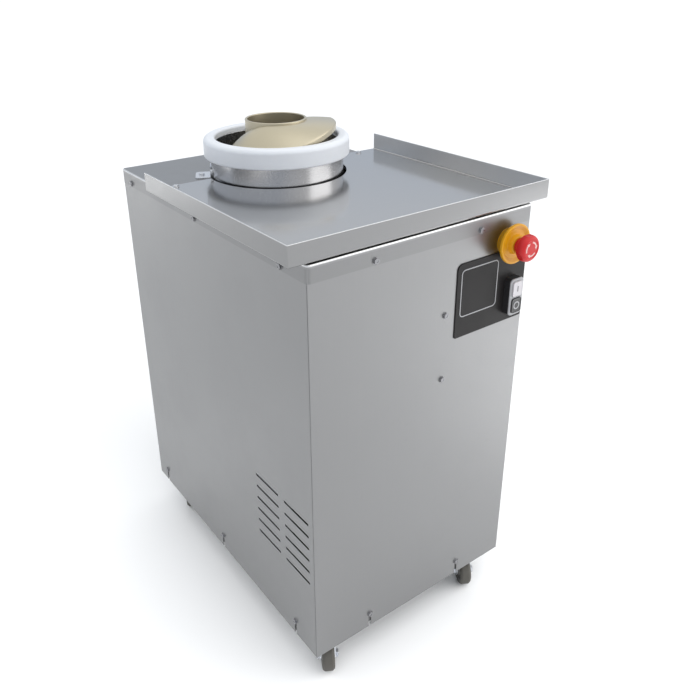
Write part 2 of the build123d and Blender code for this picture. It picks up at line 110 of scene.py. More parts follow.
def place(piece, spot=(0, 0, 0), turn=(0, 0, 0)):
    piece.location = Vector(spot) * mm
    piece.rotation_euler = [radians(angle) for angle in turn]
    return settle(piece)


def onFront(piece, x=0, z=0, out=0):
    # local Z comes out of the front panel, local Y is up
    return place(piece, (x, panelFront - out, z), (90, 0, 0))


# tests that pick edges
def upright(middle, way):
    return abs(way.z) > straight


def crosswise(middle, way):
    return abs(way.x) > straight


def above(level):
    return lambda middle, way: middle.z > level - near


# starting shapes
def addBlock(name, low, high):
    clearSelection()
    middle = [(a + b) / 2 * mm for a, b in zip(low, high)]
    bpy.ops.mesh.primitive_cube_add(size=1, location=middle)
    piece = named(bpy.context.active_object, name)
    piece.scale = [(b - a) * mm for a, b in zip(low, high)]
    return settle(piece)


def addRound(name, radius, low, high, spot=(0, 0), sides=96):
    clearSelection()
    bpy.ops.mesh.primitive_cylinder_add(
        vertices=sides, radius=radius * mm, depth=(high - low) * mm,
        location=(spot[0] * mm, spot[1] * mm, (low + high) / 2 * mm))
    return settle(named(bpy.context.active_object, name))


def addHex(name, across, low, high):
    return addRound(name, across / 2 / cos(radians(30)), low, high, sides=6)


def softCorners(corners, steps):
    # a corner is (a, b) or (a, b, radius); the radius becomes an arc of points
    points = []
    count = len(corners)
    for index, (a, b, *rounding) in enumerate(corners):
        radius = sum(rounding)
        here = Vector((a, b))
        if not radius:
            points.append((a, b))
            continue
        back = (Vector(corners[index - 1][:2]) - here).normalized()
        ahead = (Vector(corners[(index + 1) % count][:2]) - here).normalized()
        half = acos(max(-1, min(1, back.dot(ahead)))) / 2
        centre = here + (back + ahead).normalized() * radius / sin(half)
        first = here + back * radius / tan(half) - centre
        last = here + ahead * radius / tan(half) - centre
        sweep = atan2(first.x * last.y - first.y * last.x, first.dot(last))
        for step in range(steps + 1):
            angle = sweep * step / steps
            points.append((centre.x + first.x * cos(angle) - first.y * sin(angle),
                           centre.y + first.x * sin(angle) + first.y * cos(angle)))
    return points


def boxCorners(left, right, low, high, radius=0):
    return [(left, low, radius), (right, low, radius), (right, high, radius), (left, high, radius)]


def addOutline(name, points, standing):
    # a circle of edges moved onto the points of a section
    clearSelection()
    bpy.ops.mesh.primitive_circle_add(vertices=len(points), radius=1, fill_type="NOTHING")
    piece = named(bpy.context.active_object, name)
    for vertex, (a, b) in zip(piece.data.vertices, points):
        vertex.co = Vector((a, 0, b) if standing else (a, b, 0)) * mm
    editAll(piece)
    return piece


def mendMesh(piece):
    editAll(piece)
    bpy.ops.mesh.remove_doubles(threshold=0.001 * mm)  # closer than a micron is one point
    bpy.ops.mesh.dissolve_degenerate(threshold=0.0001 * mm)
    bpy.ops.mesh.delete_loose()
    bpy.ops.mesh.select_all(action="SELECT")
    bpy.ops.mesh.normals_make_consistent(inside=False)
    leaveEdit()
    return piece


def spinSection(name, corners, steps, sides):
    # corners as in softCorners, across and up, turned about Z
    piece = addOutline(name, softCorners(corners, steps), True)
    bpy.ops.mesh.spin(steps=sides, angle=2 * pi, center=(0, 0, 0), axis=(0, 0, 1))
    leaveEdit()
    return mendMesh(piece)


def liftOutline(name, corners, height, steps=6):
    # a flat outline on the floor, filled and pulled up
    piece = addOutline(name, softCorners(corners, steps), False)
    bpy.ops.mesh.edge_face_add()
    bpy.ops.mesh.extrude_region_move(TRANSFORM_OT_translate={"value": (0, 0, height * mm)})
    leaveEdit()
    return mendMesh(piece)


def softBlock(name, half, low, high, radius, steps=6):
    x, y = half
    return place(liftOutline(name, boxCorners(-x, x, -y, y, radius), high - low, steps), (0, 0, low))


# working on a shape
def applied(piece, kind, **values):
    pick(piece)
    modifier = piece.modifiers.new(kind.lower(), kind)
    for key, value in values.items():
        setattr(modifier, key, value)
    bpy.ops.object.modifier_apply(modifier=modifier.name)
    return piece


def combine(piece, operation, others):
    for other in others:
        applied(piece, "BOOLEAN", operation=operation, solver="EXACT", object=other)
        bpy.data.objects.remove(other)
    return piece


def cutAway(piece, *cutters):
    return combine(piece, "DIFFERENCE", cutters)


def fuse(piece, *others):
    return combine(piece, "UNION", others)


def gather(piece, *others):
    pick(piece)
    for other in others:
        other.select_set(True)
    bpy.ops.object.join()
    return piece


def soften(piece, width, segments=2, angle=50):
    return applied(piece, "BEVEL", width=width * mm, segments=segments,
                   limit_method="ANGLE", angle_limit=radians(angle))


def bevelEdges(piece, width, segments, test):
    editChosen(piece, "EDGE", test)
    bpy.ops.mesh.bevel(offset=width * mm, segments=segments, affect="EDGES")
    leaveEdit()
    return piece


def hexBar(name, across, low, high, edge=0.6):
    return bevelEdges(addHex(name, across, low, high), edge, 2, lambda middle, way: not upright(middle, way))


def cutGrips(piece, count, start, far, radius, low, high, sides):
    # round grips all the way round, the first one at the start angle
    for index in range(count):
        angle = radians(start + 360 * index / count)
        cutAway(piece, addRound("grip", radius, low, high, (far * cos(angle), far * sin(angle)), sides))


def sinkHoles(piece, spots, turn, radius, deep, sides):
    for spot in spots:
        cutAway(piece, place(addRound("hole", radius, -deep, reach, sides=sides), spot, turn))


def copyOf(piece, name):
    twin = piece.copy()
    twin.data = piece.data.copy()
    bpy.context.scene.collection.objects.link(twin)
    return named(twin, name)


def dress(piece, finish, body, slot, *nodes, smooth=35):
    settle(piece)
    bpy.ops.object.shade_smooth_by_angle(angle=radians(smooth))
    applied(piece, "WEIGHTED_NORMAL", keep_sharp=True)
    piece.data.materials.clear()
    piece.data.materials.append(finishes[finish])
    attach(piece, body)
    if nodes:
        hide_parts(*nodes)
    return piece


# finishes: nodes
def feed(tree, socket, value):
    # what another node puts out is linked, a plain value is set
    if hasattr(value, "is_linked"):
        tree.links.new(value, socket)
    else:
        socket.default_value = value


def addNode(tree, kind, out, inputs, **settings):
    node = tree.nodes.new("ShaderNode" + kind)
    for key, value in settings.items():
        setattr(node, key, value)
    for label, value in inputs.items():
        feed(tree, node.inputs[label], value)
    return node.outputs[out]


def calculate(tree, operation, *values):
    return addNode(tree, "Math", 0, dict(enumerate(values)), operation=operation)


def noise(tree, vector, scale, detail, rough):
    return addNode(tree, "TexNoise", "Fac", {
        "Vector": vector, "Scale": scale, "Detail": detail, "Roughness": rough})


def remap(tree, value, low, high, newLow=0.0, newHigh=1.0):
    return addNode(tree, "MapRange", "Result", {
        "Value": value, "From Min": low, "From Max": high, "To Min": newLow, "To Max": newHigh})


def stretched(tree, vector, scale):
    return addNode(tree, "Mapping", "Vector", {"Vector": vector, "Scale": scale})


def blend(tree, factor, *ends):
    # the two ends are colours or come from other nodes
    one, two = (end if hasattr(end, "is_linked") else (*end, 1) for end in ends)
    return addNode(tree, "Mix", "Result", {"Factor": factor, "A": one, "B": two}, data_type="RGBA")


def bump(tree, shader, height, strength, depth):
    inputs = {"Strength": strength, "Distance": depth * mm, "Height": height}
    feed(tree, shader.inputs["Normal"], addNode(tree, "Bump", "Normal", inputs))


# effects that several finishes use; a noise is its scale, detail and roughness
brushing = {"fine": (1.0, 5.0, 0.65), "broad": (0.22, 3.0, 0.5), "fineShare": 0.6, "broadShare": 0.4}
handling = {"cloud": (5.0, 0.6), "cloudFrom": 0.45, "cloudTo": 0.72,
            "bent": (7, 55, 31), "line": (3.0, 2.0, 0.4), "thin": 0.006}
grain = {"pebble": (3.0, 0.6), "shade": (24.0, 5.0, 0.6)}


def newGroup(name, inputs, outputs):
    group = bpy.data.node_groups.new(name, "ShaderNodeTree")
    for label, value in inputs.items():
        kind = "NodeSocketFloat" if isinstance(value, float) else "NodeSocketVector"
        group.interface.new_socket(label, in_out="INPUT", socket_type=kind).default_value = value
    for label in outputs:
        group.interface.new_socket(label, in_out="OUTPUT", socket_type="NodeSocketFloat")
    return group, group.nodes.new("NodeGroupInput").outputs, group.nodes.new("NodeGroupOutput").inputs


def makeBrushing():
    # long fine streaks along one direction
    group, given, result = newGroup(
        "brushing", {"Place": (0, 0, 0), "Stretch": (900, 900, 14), "Contrast": 0.5}, ["Streak", "Height"])
    spread = stretched(group, given["Place"], given["Stretch"])
    fine = noise(group, spread, *brushing["fine"])
    broad = calculate(group, "MULTIPLY", noise(group, spread, *brushing["broad"]), brushing["broadShare"])
    both = calculate(group, "MULTIPLY_ADD", fine, brushing["fineShare"], broad)
    centred = calculate(group, "SUBTRACT", both, 0.5)
    feed(group, result["Streak"], calculate(group, "MULTIPLY_ADD", centred, given["Contrast"], 0.5))
    feed(group, result["Height"], both)
    return group


def makeHandling():
    # cloudy smears from hands and wiping, and a few thin scratches
    group, given, result = newGroup(
        "handling", {"Place": (0, 0, 0), "Size": 9.0, "Amount": 0.5}, ["Smear", "Scratch"])
    cloud = noise(group, given["Place"], given["Size"], *handling["cloud"])
    smear = remap(group, cloud, handling["cloudFrom"], handling["cloudTo"])
    line = noise(group, stretched(group, given["Place"], handling["bent"]), *handling["line"])
    edge = calculate(group, "ABSOLUTE", calculate(group, "SUBTRACT", line, 0.5))
    scratch = remap(group, edge, 0.0, handling["thin"], 1.0, 0.0)
    for label, mask in (("Smear", smear), ("Scratch", scratch)):
        feed(group, result[label], calculate(group, "MULTIPLY", mask, given["Amount"]))
    return group


def makeGrain():
    # fine pebble of moulded plastic, paint and rubber
    group, given, result = newGroup("grain", {"Place": (0, 0, 0), "Scale": 900.0}, ["Height", "Shade"])
    feed(group, result["Height"], noise(group, given["Place"], given["Scale"], *grain["pebble"]))
    feed(group, result["Shade"], noise(group, given["Place"], *grain["shade"]))
    return group


effects = {"brushing": makeBrushing(), "handling": makeHandling(), "grain": makeGrain()}


def useEffect(tree, name, where, **values):
    node = tree.nodes.new("ShaderNodeGroup")
    node.node_tree = effects[name]
    for label, value in {"Place": where, **values}.items():
        feed(tree, node.inputs[label], value)
    return node.outputs


# finishes: kinds of material
metalWear = {"streaks": (0.3, 0.7), "spread": 0.05, "scratch": 0.08, "bump": 0.25, "coatRough": 0.25}
foldWear = {"contrast": 0.4, "smear": 0.05, "scratch": 0.05}
plasticWear = {"scratch": 0.06, "bump": 0.3, "coatRough": 0.12, "softRadius": (0.004, 0.004, 0.0035)}


def newFinish(name):
    finish = bpy.data.materials.new(name)
    finish.use_nodes = True
    tree = finish.node_tree
    return finish, tree, tree.nodes["Principled BSDF"], addNode(tree, "TexCoord", "Object", {})


def setConstants(shader, **values):
    for label, value in values.items():
        shader.inputs[label.replace("_", " ")].default_value = value


def wearRough(tree, shader, where, rough, smear, scratch):
    marks = useEffect(tree, "handling", where, Amount=1.0)
    marked = calculate(tree, "MULTIPLY_ADD", marks["Smear"], smear, rough)
    feed(tree, shader.inputs["Roughness"], calculate(tree, "MULTIPLY_ADD", marks["Scratch"], scratch, marked))


def metalFinish(name, dark, light, rough, stretch, contrast=0.5, smear=0.12, depth=0.02, coat=0.0):
    finish, tree, shader, where = newFinish(name)
    streak = useEffect(tree, "brushing", where, Stretch=stretch, Contrast=contrast)
    setConstants(shader, Metallic=1.0)
    feed(tree, shader.inputs["Base Color"], blend(tree, streak["Streak"], dark, light))
    spread = metalWear["spread"]
    base = remap(tree, streak["Streak"], *metalWear["streaks"], rough - spread, rough + spread)
    wearRough(tree, shader, where, base, smear, metalWear["scratch"])
    bump(tree, shader, streak["Height"], metalWear["bump"], depth)
    if coat:
        setConstants(shader, Coat_Weight=coat, Coat_Roughness=metalWear["coatRough"])
    return finish


def foldedFinish(name, look):
    # a folded sheet whose flat, lips and outer sides differ in roughness and in colour: the lighter lips are
    # painted light, the darker outer sides painted shade, and a band along a bend or an edge a painted
    # highlight
    finish, tree, shader, where = newFinish(name)
    streak = useEffect(tree, "brushing", where, Stretch=sideways, Contrast=foldWear["contrast"])
    setConstants(shader, Metallic=1.0)
    x, y, z = addNode(tree, "SeparateXYZ", 0, {"Vector": where}).node.outputs
    colour, rough = blend(tree, streak["Streak"], *look["flat"]), look["rough"]
    zones = []
    if "lip" in look:
        # the lips' inner faces take a lighter colour than the flat: painted light
        zones.append((remap(tree, z, *look["lipHeight"]), "lip", look["lipRough"]))
        side = remap(tree, calculate(tree, "ABSOLUTE", x), *look["sides"])
        shadedZone = calculate(tree, "MAXIMUM", side, remap(tree, y, *look["front"]))
    else:
        shadedZone = remap(tree, z, *look["height"])
    # the tray's outer sides and the deck's skirt take a darker colour: painted shade
    zones.append((shadedZone, "folded", look["foldedRough"]))
    for mask, zone, zoneRough in zones:
        colour = blend(tree, mask, colour, blend(tree, streak["Streak"], *look[zone]))
        rough = remap(tree, mask, 0.0, 1.0, rough, zoneRough)
    # a lighter band along a bend or the top edges: painted highlight
    rising, falling = (remap(tree, z, *levels) for levels in look["highlightBand"])
    paintedHighlight = blend(tree, streak["Streak"], *look["paintedHighlight"])
    colour = blend(tree, calculate(tree, "MULTIPLY", rising, falling), colour, paintedHighlight)
    feed(tree, shader.inputs["Base Color"], colour)
    wearRough(tree, shader, where, rough, foldWear["smear"], foldWear["scratch"])
    bump(tree, shader, streak["Height"], metalWear["bump"], look["depth"])
    return finish


def mouldedFinish(name, dark, light, rough, scale=900.0,
                  depth=0.02, smear=0.1, coat=0.0, soft=0.0, shine=0.5):
    finish, tree, shader, where = newFinish(name)
    pebble = useEffect(tree, "grain", where, Scale=scale)
    feed(tree, shader.inputs["Base Color"], blend(tree, pebble["Shade"], dark, light))
    wearRough(tree, shader, where, rough, smear, plasticWear["scratch"])
    bump(tree, shader, pebble["Height"], plasticWear["bump"], depth)
    setConstants(shader, Specular_IOR_Level=shine)
    if coat:
        setConstants(shader, Coat_Weight=coat, Coat_Roughness=plasticWear["coatRough"])
    if soft:
        setConstants(shader, Subsurface_Weight=soft, Subsurface_Radius=plasticWear["softRadius"],
                     Subsurface_Scale=1.0)
    return finish


# finishes: a dark and a light colour each; places of the folded ones are in metres
upDown = (1100, 1100, 16)
sideways = (16, 1100, 1100)
polished = {"depth": 0.01, "smear": 0.12}
trayLook = {
    "sides": (0.2266, 0.2276), "front": (-0.2676, -0.2686), "lipHeight": (0.7158, 0.7172),
    "flat": ((0.435, 0.43, 0.425), (0.495, 0.49, 0.485)), "rough": 0.13,
    # the lips' inner faces are painted lighter than the floor of the same sheet: painted light
    "lip": ((0.60, 0.60, 0.60), (0.68, 0.68, 0.68)), "lipRough": 0.36,
    # the outer sides and lower bends are painted darker to hide their highlight: painted shade
    "folded": ((0.24, 0.24, 0.242), (0.28, 0.28, 0.282)), "foldedRough": 0.15,
    # a painted highlight along the lips' top edges, where the bare cut edge is also lighter
    "highlightBand": ((0.7417, 0.7421), (0.7450, 0.7440)), "paintedHighlight": ((0.62, 0.62, 0.62), (0.72, 0.72, 0.72)),
    "depth": 0.008}
deckLook = {
    "height": (0.706, 0.704), "flat": ((0.26, 0.26, 0.262), (0.30, 0.30, 0.302)), "rough": 0.34,
    # the skirt is painted darker than the top of the same sheet: painted shade
    "folded": ((0.225, 0.225, 0.227), (0.26, 0.26, 0.262)), "foldedRough": 0.34,
    # a painted highlight along the deck's top bend, just under the tray's lips
    "highlightBand": ((0.7068, 0.7078), (0.7099, 0.7096)), "paintedHighlight": ((0.66, 0.66, 0.66), (0.76, 0.76, 0.76)),
    "depth": 0.02}
finishes = {
    "panel": metalFinish("satin_sheet", (0.25, 0.25, 0.252), (0.292, 0.292, 0.294), 0.33, upDown, smear=0.04),
    "deck": foldedFinish("deck_sheet", deckLook),
    "tray": foldedFinish("bright_tray", trayLook),
    "drum": metalFinish("turned_drum", (0.55, 0.55, 0.56), (0.62, 0.62, 0.63), 0.24, (30, 30, 1500),
                        contrast=0.12, smear=0.0, depth=0.0015),
    "auger": metalFinish("champagne_auger", (0.45, 0.402, 0.290), (0.50, 0.447, 0.330), 0.44, (40, 40, 900),
                         contrast=0.3, smear=0.05, coat=0.6),
    "plated": metalFinish("zinc_plate", (0.62, 0.63, 0.65), (0.74, 0.75, 0.77), 0.28, (260, 260, 260),
                          contrast=0.6, smear=0.1),
    "screw": metalFinish("dark_screw", (0.22, 0.22, 0.23), (0.34, 0.34, 0.35), 0.24, (300, 300, 300),
                         contrast=0.7, smear=0.1),
    # frame tubes darker than plain mill steel, as painted shade for the inside seen through the vents
    "frame": metalFinish("shade_darkened_tube", (0.11, 0.11, 0.11), (0.17, 0.17, 0.17), 0.45, (60, 60, 60),
                         contrast=0.9, smear=0.15),
    "ring": mouldedFinish("milky_ring", (0.68, 0.70, 0.74), (0.74, 0.76, 0.79), 0.36, 500.0,
                          soft=0.12, **polished),
    "plate": mouldedFinish("charcoal_plate", (0.011, 0.010, 0.010), (0.018, 0.0165, 0.0165), 0.36, 1400.0,
                           shine=0.16, **polished),
    "line": mouldedFinish("pale_line", (0.30, 0.30, 0.31), (0.36, 0.36, 0.37), 0.4),
    "bezel": mouldedFinish("switch_bezel", (0.30, 0.30, 0.31), (0.36, 0.36, 0.37), 0.36, 1100.0, depth=0.01),
    "dark": mouldedFinish("dark_moulding", (0.012, 0.012, 0.013), (0.024, 0.023, 0.024), 0.38, 1100.0),
    "yellow": mouldedFinish("stop_yellow", (0.60, 0.275, 0.004), (0.68, 0.33, 0.006), 0.36,
                            coat=0.08, shine=0.35, **polished),
    "red": mouldedFinish("stop_red", (0.47, 0.012, 0.013), (0.55, 0.018, 0.020), 0.30, shine=0.3, **polished),
    "arrow": mouldedFinish("arrow_pale", (0.62, 0.42, 0.40), (0.70, 0.50, 0.48), 0.4),
    "white": mouldedFinish("start_white", (0.50, 0.48, 0.50), (0.56, 0.54, 0.56), 0.32, coat=0.1, **polished),
    "black": mouldedFinish("stop_black", (0.014, 0.014, 0.015), (0.026, 0.026, 0.027), 0.32,
                           coat=0.1, **polished),
    "mark": mouldedFinish("mark_grey", (0.10, 0.10, 0.105), (0.15, 0.15, 0.155), 0.45),
    "tyre": mouldedFinish("wheel_rubber", (0.055, 0.05, 0.042), (0.10, 0.095, 0.082), 0.62, 700.0,
                          depth=0.04, smear=0.15),
    "hub": mouldedFinish("wheel_hub", (0.16, 0.155, 0.145), (0.22, 0.215, 0.20), 0.5, 700.0, depth=0.03),
    "paint": mouldedFinish("motor_paint", (0.06, 0.085, 0.11), (0.085, 0.115, 0.145), 0.42, 500.0,
                           depth=0.05, smear=0.12, coat=0.15),
    "block": mouldedFinish("contact_block", (0.09, 0.09, 0.095), (0.14, 0.14, 0.145), 0.5),
}
print("finishes made:", len(finishes))

# screws that the sheets and the heads share
screws = {
    "across": 8.0, "height": 3.0, "hexEdge": 0.7, "flange": 5.2, "flangeHeight": 0.9, "flangeEdge": 0.35,
    "dimple": 2.0, "dimpleDeep": 0.35, "frontX": (-95.0, 95.0), "sideY": (-206.0, 32.0, 270.0),
    "topZ": 691.0, "lowZ": 86.0, "bracketX": 35.0, "bracketZ": (471.0, 575.6), "slotWidth": 5.2,
    "trayX": 182.0, "trayY": (-226.0, 126.0),
    "clipRadius": 128.0, "clipAngles": (28.02, 151.98), "clipZ": 712.0,
}

# panels of the cabinet, with the vents and the openings of the controls
panels = {"edge": 0.4, "sideFront": -262.5, "sideBack": 305.5, "slotRound": 0.98}
vents = {"rows": 6, "columns": 2, "length": 64.0, "width": 4.0, "pitch": 22.0,
         "columnPitch": 80.0, "front": -251.0, "low": 198.0, "end": 1.98}
openings = {"stop": (152.0, 662.0), "stopHole": 11.0, "switch": (168.0, 573.6), "switchHalf": (12.2, 27.2)}


def slotCutters(spots, axis):
    # round-topped slots that the bottom screws slide into, as wide as given along the axis
    half = screws["slotWidth"] / 2
    top = screws["lowZ"] + half
    cutters = []
    for spot in spots:
        low = [value - reach for value in (*spot, machine["bottom"])]
        high = [value + reach for value in spot] + [top]
        low[axis], high[axis] = spot[axis] - half, spot[axis] + half
        cutter = addBlock("slot", low, high)
        bevelEdges(cutter, half * panels["slotRound"], 5,
                   lambda middle, way: middle.z > top - near and abs(way[1 - axis]) > straight)
        cutters.append(cutter)
    return cutters


def ventCutters(x):
    # one slot with round ends, copied to every row and column
    low = (x - reach, vents["front"], vents["low"])
    first = addBlock("vent", low, (x + reach, low[1] + vents["length"], low[2] + vents["width"]))
    bevelEdges(first, vents["end"], 5, crosswise)
    cutters = [first]
    for row in range(vents["rows"]):
        for column in range(vents["columns"]):
            if row or column:
                vent = copyOf(first, "vent")
                vent.location = (0, column * vents["columnPitch"] * mm, row * vents["pitch"] * mm)
                cutters.append(settle(vent))
    return cutters


def controlCutters(radius, sides):
    hole = onFront(addRound("hole", radius, -reach, reach, sides=sides), *openings["stop"])
    (x, z), (halfX, halfZ) = openings["switch"], openings["switchHalf"]
    window = addBlock("window", (x - halfX, panelFront - reach, z - halfZ),
                      (x + halfX, panelFront + reach, z + halfZ))
    return hole, window


def makeSheet(name, node, low, high, *cutters):
    sheet = addBlock(name, (*low, machine["bottom"]), (*high, machine["panelTop"]))
    soften(cutAway(sheet, *cutters), panels["edge"])
    dress(sheet, "panel", "cabinet", "panel_steel", node)


def makePanels():
    slots = slotCutters([(x, panelFront) for x in screws["frontX"]], 0)
    makeSheet("front_sheet", "front_panel", (-panelX, panelFront), (panelX, panelFront + wall),
              *slots, *controlCutters(openings["stopHole"], 64))
    slots = slotCutters([(x, panelBack) for x in screws["frontX"]], 0)
    makeSheet("back_sheet", "back_panel", (-panelX, panelBack - wall), (panelX, panelBack), *slots)
    for label, side in (("left", -1), ("right", 1)):
        inner, outer = sorted((side * (panelX - wall), side * panelX))
        slots = slotCutters([(side * panelX, y) for y in screws["sideY"]], 1)
        makeSheet(label + "_sheet", label + "_panel", (inner, panels["sideFront"]),
                  (outer, panels["sideBack"]), gather(*slots, *ventCutters(side * panelX)))


makePanels()
print("panels made")

# top deck: a folded pan with a skirt, and the tray that lies on it
deck = {"bend": 2.2, "corner": 6.0}
tray = {"halfWidth": 228.0, "front": -269.0, "back": 136.0, "lip": 28.0, "bend": 3.0, "edge": 0.4}


def drumCutter(low, high):
    return addRound("hole", machine["drumHole"], low, high, (0, drumY), largeSides)


def makeDeck():
    half, front, back = machine["halfWidth"], machine["front"], machine["back"]
    low, high = machine["deck"] - machine["skirt"], machine["deck"]
    sheet = addBlock("deck_sheet", (-half, front, low), (half, back, high))
    bevelEdges(sheet, deck["corner"], 4, upright)
    bevelEdges(sheet, deck["bend"], 5, above(high))
    inside = addBlock("inside", (wall - half, front + wall, low - reach),
                      (half - wall, back - wall, high - wall))
    bevelEdges(inside, deck["corner"] - wall, 4, upright)
    bevelEdges(inside, deck["bend"] - wall, 4, above(high - wall))
    cutAway(sheet, inside, drumCutter(low, high + reach))
    dress(sheet, "deck", "cabinet", "panel_steel", "top_deck")


def makeTray():
    half, front, back, bend = tray["halfWidth"], tray["front"], tray["back"], tray["bend"]
    low, high = trayFloor - wall, trayFloor + tray["lip"]

    def folds(level):
        return lambda middle, way: middle.z < level + near and middle.y < back - near

    sheet = addBlock("tray_sheet", (-half, front, low), (half, back, high))
    bevelEdges(sheet, bend, 5, folds(low))
    inside = addBlock("inside", (wall - half, front + wall, trayFloor),
                      (half - wall, back + reach, high + reach))
    bevelEdges(inside, bend - wall, 4, folds(trayFloor))
    cutAway(sheet, inside, drumCutter(low - reach, high + reach))
    soften(sheet, tray["edge"], angle=60)
    dress(sheet, "tray", "cabinet", "tray_steel", "ball_tray")


makeDeck()
makeTray()
print("deck and tray made")

# drum, its white rim ring and its clips
drum = {"radius": 111.0, "bore": 102.0, "low": 564.5, "high": 766.0, "edge": 1.0}
ring = {"radius": 121.5, "low": 744.0, "high": 776.0,
        "topOuter": 8.0, "topInner": 4.0, "foot": 3.0, "lipEdge": 0.6}
clips = {"width": 40.0, "reach": 27.0, "height": 18.0, "thick": 2.0, "round": 6.0, "edge": 0.3,
         "inside": 8.0, "play": 0.02, "coreHigh": 40.0}


def makeDrum():
    section = boxCorners(drum["bore"], drum["radius"], drum["low"], drum["high"], drum["edge"])
    shell = place(spinSection("drum_shell", section, 3, largeSides), (0, drumY, 0))
    dress(shell, "drum", "cabinet", "drum_steel", "drum", smooth=40)


def makeRing():
    bore, seat, outer = drum["bore"], drum["radius"], ring["radius"]
    rim = spinSection("rim_ring", [
        (bore, drum["high"], ring["lipEdge"]), (bore, ring["high"], ring["topInner"]),
        (outer, ring["high"], ring["topOuter"]), (outer, ring["low"], ring["foot"]),
        (seat, ring["low"], ring["lipEdge"]), (seat, drum["high"])], 8, largeSides)
    dress(place(rim, (0, drumY, 0)), "ring", "cabinet", "ring_white", "drum_ring", smooth=40)


def makeClips():
    half, radius, thick = clips["width"] / 2, drum["radius"], clips["thick"]
    start = (radius - clips["inside"], -half, 0)
    foot = addBlock("clip_pair", start, (radius + clips["reach"], half, thick))
    bevelEdges(foot, clips["round"], 5, lambda middle, way: upright(middle, way) and middle.x > radius)
    tab = addBlock("tab", start, (radius + thick, half, clips["height"]))
    bevelEdges(tab, clips["round"], 5, lambda middle, way: crosswise(middle, way) and middle.z > thick)
    fuse(foot, tab)
    cutAway(foot, addRound("core", radius + clips["play"], -reach, clips["coreHigh"], sides=256))
    soften(foot, clips["edge"])
    other = copyOf(foot, "clip")
    for clip, angle in zip((foot, other), screws["clipAngles"]):
        place(clip, (0, drumY, machine["deck"]), (0, 0, angle))
    dress(gather(foot, other), "plated", "cabinet", "plated_steel", "drum_clips")


makeDrum()
makeRing()
makeClips()
print("drum made")

# auger: base disc, hollow collar with a window, hub and the rising flight
auger = {
    "low": 566.0, "baseTop": 574.0, "radius": 100.0, "edge": 1.2,
    "collar": 51.0, "bore": 47.0, "top": 802.5, "rimEdge": 1.4, "sink": 1.0,
    "hub": 24.0, "hubTop": 604.0, "hubEdge": 3.0, "square": 20.3, "squareDepth": 25.0,
    "pitch": 170.0, "thick": 11.0, "lowest": 570.0, "toe": 0.5, "root": 49.0, "outer": 99.6,
    "exitAngle": -12.0, "exitRise": 80.0, "overrun": 101.0,
    "drop": 51.0, "dropTurn": 120.0, "levelRun": 10.0, "rimStep": 3.0, "bulge": 1.7,
    "steps": 150, "across": 8, "edgeRound": 2.2,
    "windowTurn": 110.0, "windowLead": 5.0, "windowHeight": 85.0, "windowReach": 80.0, "windowPlay": 0.01,
}
flightStart = auger["baseTop"] + auger["toe"]
flightTurn = (trayFloor + auger["overrun"] - flightStart) / auger["pitch"] * 360
firstAngle = auger["exitAngle"] - flightTurn


def levelled(height, top):
    over = top + auger["levelRun"] - height
    if over <= 0:
        return top
    if over >= 2 * auger["levelRun"]:
        return height
    return top - over ** 2 / (4 * auger["levelRun"])


def flightHeight(turn, radius):
    ramp = flightStart + auger["pitch"] * turn / 360
    lift = auger["drop"] * sin(radians(90 * min(1, turn / auger["dropTurn"])))
    outer = levelled(ramp, trayFloor + auger["exitRise"])
    inner = levelled(ramp + lift, auger["top"] - auger["rimStep"])
    share = (radius - auger["root"]) / (auger["outer"] - auger["root"])
    return inner + (outer - inner) * max(0.0, share) ** auger["bulge"]


def makeFlight():
    # a line swept up by Screw, then pulled to the ramp's real heights and thickened
    clearSelection()
    bpy.ops.mesh.primitive_grid_add(x_subdivisions=auger["across"], y_subdivisions=1, size=1)
    flight = named(bpy.context.active_object, "flight")
    wide = auger["outer"] - auger["root"]
    for point in flight.data.vertices:
        point.co = Vector((auger["root"] + (point.co.x + 0.5) * wide, point.co.y, 0)) * mm
    editChosen(flight, "VERT", lambda spot, way: spot.y > 0)
    bpy.ops.mesh.delete(type="VERT")
    leaveEdit()
    for point in flight.data.vertices:
        point.co.y = 0
    rise = auger["pitch"] * flightTurn / 360
    applied(flight, "SCREW", axis="Z", angle=radians(flightTurn), screw_offset=rise * mm,
            steps=auger["steps"], render_steps=auger["steps"], use_merge_vertices=False)
    for point in flight.data.vertices:
        turn = max(0.0, point.co.z / mm / auger["pitch"] * 360)
        point.co.z = flightHeight(turn, hypot(point.co.x, point.co.y) / mm) * mm
    editAll(flight)
    bpy.ops.mesh.extrude_region_move(TRANSFORM_OT_translate={"value": (0, 0, -auger["thick"] * mm)})
    leaveEdit()
    for point in flight.data.vertices:
        point.co.z = max(point.co.z, auger["lowest"] * mm)  # the toe ends inside the base disc
    soften(mendMesh(flight), auger["edgeRound"], 3, 55)
    return place(flight, turn=(0, 0, firstAngle))


def makeWindow():
    # a wedge left of a round core after two cuts
    low = auger["baseTop"]
    wedge = addRound("window", auger["windowReach"], low - auger["windowPlay"], low + auger["windowHeight"])
    last = radians(firstAngle - auger["windowLead"])
    first = last - radians(auger["windowTurn"])
    for normal in ((sin(first), -cos(first), 0), (-sin(last), cos(last), 0)):
        editAll(wedge)
        bpy.ops.mesh.bisect(plane_co=(0, 0, 0), plane_no=normal, use_fill=True, clear_outer=True)
        leaveEdit()
    return wedge


